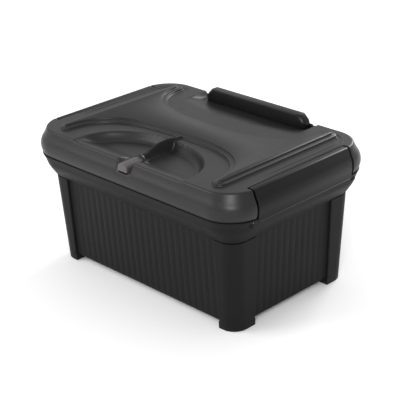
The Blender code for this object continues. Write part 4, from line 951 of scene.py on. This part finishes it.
@dataclass
class RearGrip:
    """The hinge leaf behind the lid and the grip bar on top of it."""

    half: float = 0.1180
    front: float = 0.1415
    back: float = 0.1605
    base: float = 0.2468
    top: float = 0.2700
    chamfer: float = 0.0120

    def bar(self) -> bmesh.types.BMesh:
        """The grip bar, with chamfered ends and soft edges."""
        levels = ((0.0, 0.0, 0.0), (0.4, 0.0012, 0.0), (0.60, self.chamfer * 0.25, 0.0002),
                  (1.0, self.chamfer, 0.0007))
        rings = []
        for share, draw, lean in levels:
            z = self.base + (self.top - self.base) * share
            x, front, back = self.half - draw, self.front + lean, self.back - lean
            rings.append([(-x, back, z), (-x, front + 0.0040, z), (-x + 0.0060, front, z),
                          (x - 0.0060, front, z),
                          (x, front + 0.0040, z), (x, back, z)])
        made = loft(rings)
        edges = [e for e in made.edges if e.calc_face_angle(0.0) > math.radians(24)]
        bmesh.ops.bevel(made, geom=edges, offset=0.0012, offset_type="OFFSET", affect="EDGES", segments=3,
                        profile=0.5, material=-1, clamp_overlap=True)
        return made

    def leaf(self) -> bmesh.types.BMesh:
        """The curved plate that carries the lid on its hinge pin."""
        bead = arc((0.168, 0.2099), 0.0030, 150, 375, 20)
        back = rounded_curve(((0.1708, 0.2180), (0.17095, 0.2240), (0.1705, 0.2290), (0.1696, 0.2340),
                              (0.1656, 0.2430), (0.1636, 0.2490), (0.1625, 0.2520)), 3)
        return extruded(bead + back + [(0.1621, 0.2520), (0.1621, 0.2160)], -0.1216, 0.1216, "X", 0.0004)

    def build(self) -> None:
        """Make both pieces."""
        settle(finish_piece("grip_bar", self.bar(), 40.0), "lid", "rear_bar", CLIP_PLASTIC)
        settle(finish_piece("hinge_leaf", self.leaf(), 40.0), "lid", "rear_hinge_leaf",
               LID_PLASTIC)


# Latch ------------------------------------------------------------------------------


@dataclass
class ThumbButton:
    """The half-round thumb button with its square stem."""

    half: float = 0.0110
    front: float = -0.1695
    back: float = -0.1345
    top: float = 0.2510
    base: float = 0.2360
    crown_drop: float = 0.0105
    nose_round: float = 0.0062
    stem_y: float = -0.1455
    stem_half: float = 0.0025
    stem_end: float = 0.2181

    def build(self) -> None:
        """Make the button with its rounded nose."""
        crown = [(self.half * math.sin(t), self.top - self.crown_drop * (1 - math.cos(t)))
                 for t in (math.radians(90 - 180 * step / 24) for step in range(25))]
        section = [(-self.half, self.base), (self.half, self.base), *crown]
        made = extruded(section, self.front, self.back, "Y")
        nose = [e for e in made.edges if all(v.co.y < self.front + 1e-5 and v.co.z > self.base + 1e-4
                                             for v in e.verts)]
        bmesh.ops.bevel(made, geom=nose, offset=self.nose_round, offset_type="OFFSET", affect="EDGES",
                        segments=7,
                        profile=0.5, material=-1, clamp_overlap=True)
        stem = slab((-self.stem_half, self.stem_y - self.stem_half, self.stem_end),
                    (self.stem_half, self.stem_y + self.stem_half, self.base + 0.002), 0.0004, 2)
        piece = finish_piece("thumb_button", join([made, stem]), 40.0)
        settle(piece, "button", "latch_button", BUTTON_PLASTIC)


# Carried pieces ---------------------------------------------------------------------

CARRIED: dict[str, Finish] = {
    "right_clip_pin": DRAWN_STEEL, "left_clip_pin": DRAWN_STEEL, "lid_hinge_pin": DRAWN_STEEL,
    "latch_spring": SPRING_WIRE, "latch_pawl": BLACK_PLASTIC, "latch_tray": BLACK_PLASTIC,
    "tray_screw_left": ZINC_PLATE, "tray_screw_right": ZINC_PLATE, "bar_screw_left": ZINC_PLATE,
    "bar_screw_middle": ZINC_PLATE, "bar_screw_right": ZINC_PLATE, "leaf_screw_left": ZINC_PLATE,
    "leaf_screw_middle": ZINC_PLATE, "leaf_screw_right": ZINC_PLATE, "floor_mat": MAT_RUBBER,
    "hold_down_bar": POWDER_COAT, "hold_down_rod_left": ZINC_PLATE, "hold_down_rod_right": ZINC_PLATE,
    "rod_washer_left": ZINC_PLATE, "rod_washer_right": ZINC_PLATE, "wing_nut_left": CAST_BRASS,
    "wing_nut_right": CAST_BRASS, "rim_gasket": SEAL_RUBBER, "gland_body_left": BLACK_PLASTIC,
    "gland_body_right": BLACK_PLASTIC, "gland_seal_left": SEAL_RUBBER, "gland_seal_right": SEAL_RUBBER,
    "gland_cap_left": BLACK_PLASTIC, "gland_cap_right": BLACK_PLASTIC, "gland_lock_nut_left": BLACK_PLASTIC,
    "gland_lock_nut_right": BLACK_PLASTIC, "vent_body": BLACK_PLASTIC, "vent_cap": BLACK_PLASTIC,
}


# Stage ------------------------------------------------------------------------------


@dataclass
class Studio:
    """Floor, lights and camera."""

    yaw: float = 46.151
    pitch: float = 24.371
    roll: float = -2.082
    spot: Point = (1.4151, -1.3560, 1.0153)
    lens: float = 110.87

    def floor(self) -> None:
        """A plain pale floor."""
        made = bmesh.new()
        bmesh.ops.create_grid(made, x_segments=1, y_segments=1, size=6.0)
        piece = finish_piece("floor", made)
        material = bpy.data.materials.new("pale_floor")
        material.use_nodes = True
        shader = material.node_tree.nodes["Principled BSDF"]
        shader.inputs["Base Color"].default_value = (0.93, 0.93, 0.93, 1.0)
        shader.inputs["Roughness"].default_value = 0.9
        shader.inputs["Specular IOR Level"].default_value = 0.1
        piece.data.materials.append(material)

    def lamp(self, name: str, spot: Point, size: float, power: float, target: Point = (0, 0, 0.15)) -> None:
        """A soft square lamp that faces the box."""
        data = bpy.data.lights.new(name, "AREA")
        data.size = size
        data.energy = power
        lamp = bpy.data.objects.new(name, data)
        lamp.location = spot
        lamp.rotation_mode = "QUATERNION"
        lamp.rotation_quaternion = (Vector(target) - Vector(spot)).to_track_quat("-Z", "Y")
        bpy.context.scene.collection.objects.link(lamp)

    def camera(self) -> None:
        """The camera, three quarters on from the front right."""
        yaw, pitch, roll = (math.radians(angle) for angle in (self.yaw, self.pitch, self.roll))
        back = Vector((math.sin(yaw) * math.cos(pitch), -math.cos(yaw) * math.cos(pitch), math.sin(pitch)))
        level = Vector((math.cos(yaw), math.sin(yaw), 0.0))
        rise = back.cross(level)
        right = level * math.cos(roll) + rise * math.sin(roll)
        up = rise * math.cos(roll) - level * math.sin(roll)
        data = bpy.data.cameras.new("camera")
        data.lens = self.lens
        data.sensor_width = 36.0
        camera = bpy.data.objects.new("camera", data)
        turn = Matrix((right, up, back)).transposed().to_4x4()
        camera.matrix_world = Matrix.Translation(self.spot) @ turn
        bpy.context.scene.collection.objects.link(camera)
        bpy.context.scene.camera = camera

    def build(self) -> None:
        """Set the stage."""
        world = bpy.data.worlds.new("studio")
        world.use_nodes = True
        world.node_tree.nodes["Background"].inputs["Color"].default_value = (1.0, 1.0, 1.0, 1.0)
        world.node_tree.nodes["Background"].inputs["Strength"].default_value = 0.76
        bpy.context.scene.world = world
        bpy.context.scene.view_settings.view_transform = "Standard"
        self.floor()
        self.lamp("key", (-1.5, -2.0, 1.6), 1.6, 34.0)
        self.lamp("corner", (1.9, -2.1, 1.70), 0.80, 46.0)
        self.lamp("rear", (-0.25, 2.2, 1.25), 1.0, 34.0)
        self.camera()


def main() -> None:
    """Build every piece in order."""
    logging.basicConfig(level=logging.INFO, format="%(name)s: %(message)s")
    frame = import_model()
    Studio().build()
    grain_group()
    scuff_group()
    for finish in FINISHES:
        finish.build()
    for node, finish in CARRIED.items():
        dress(frame["nodes"][node], finish)
        LOG.info("%s dressed in %s", node, finish.name)
    LidMoulding().build()
    TubMoulding().build()
    EndClip(1).build()
    EndClip(-1).build()
    RearGrip().build()
    ThumbButton().build()


if __name__ == "__main__":
    main()
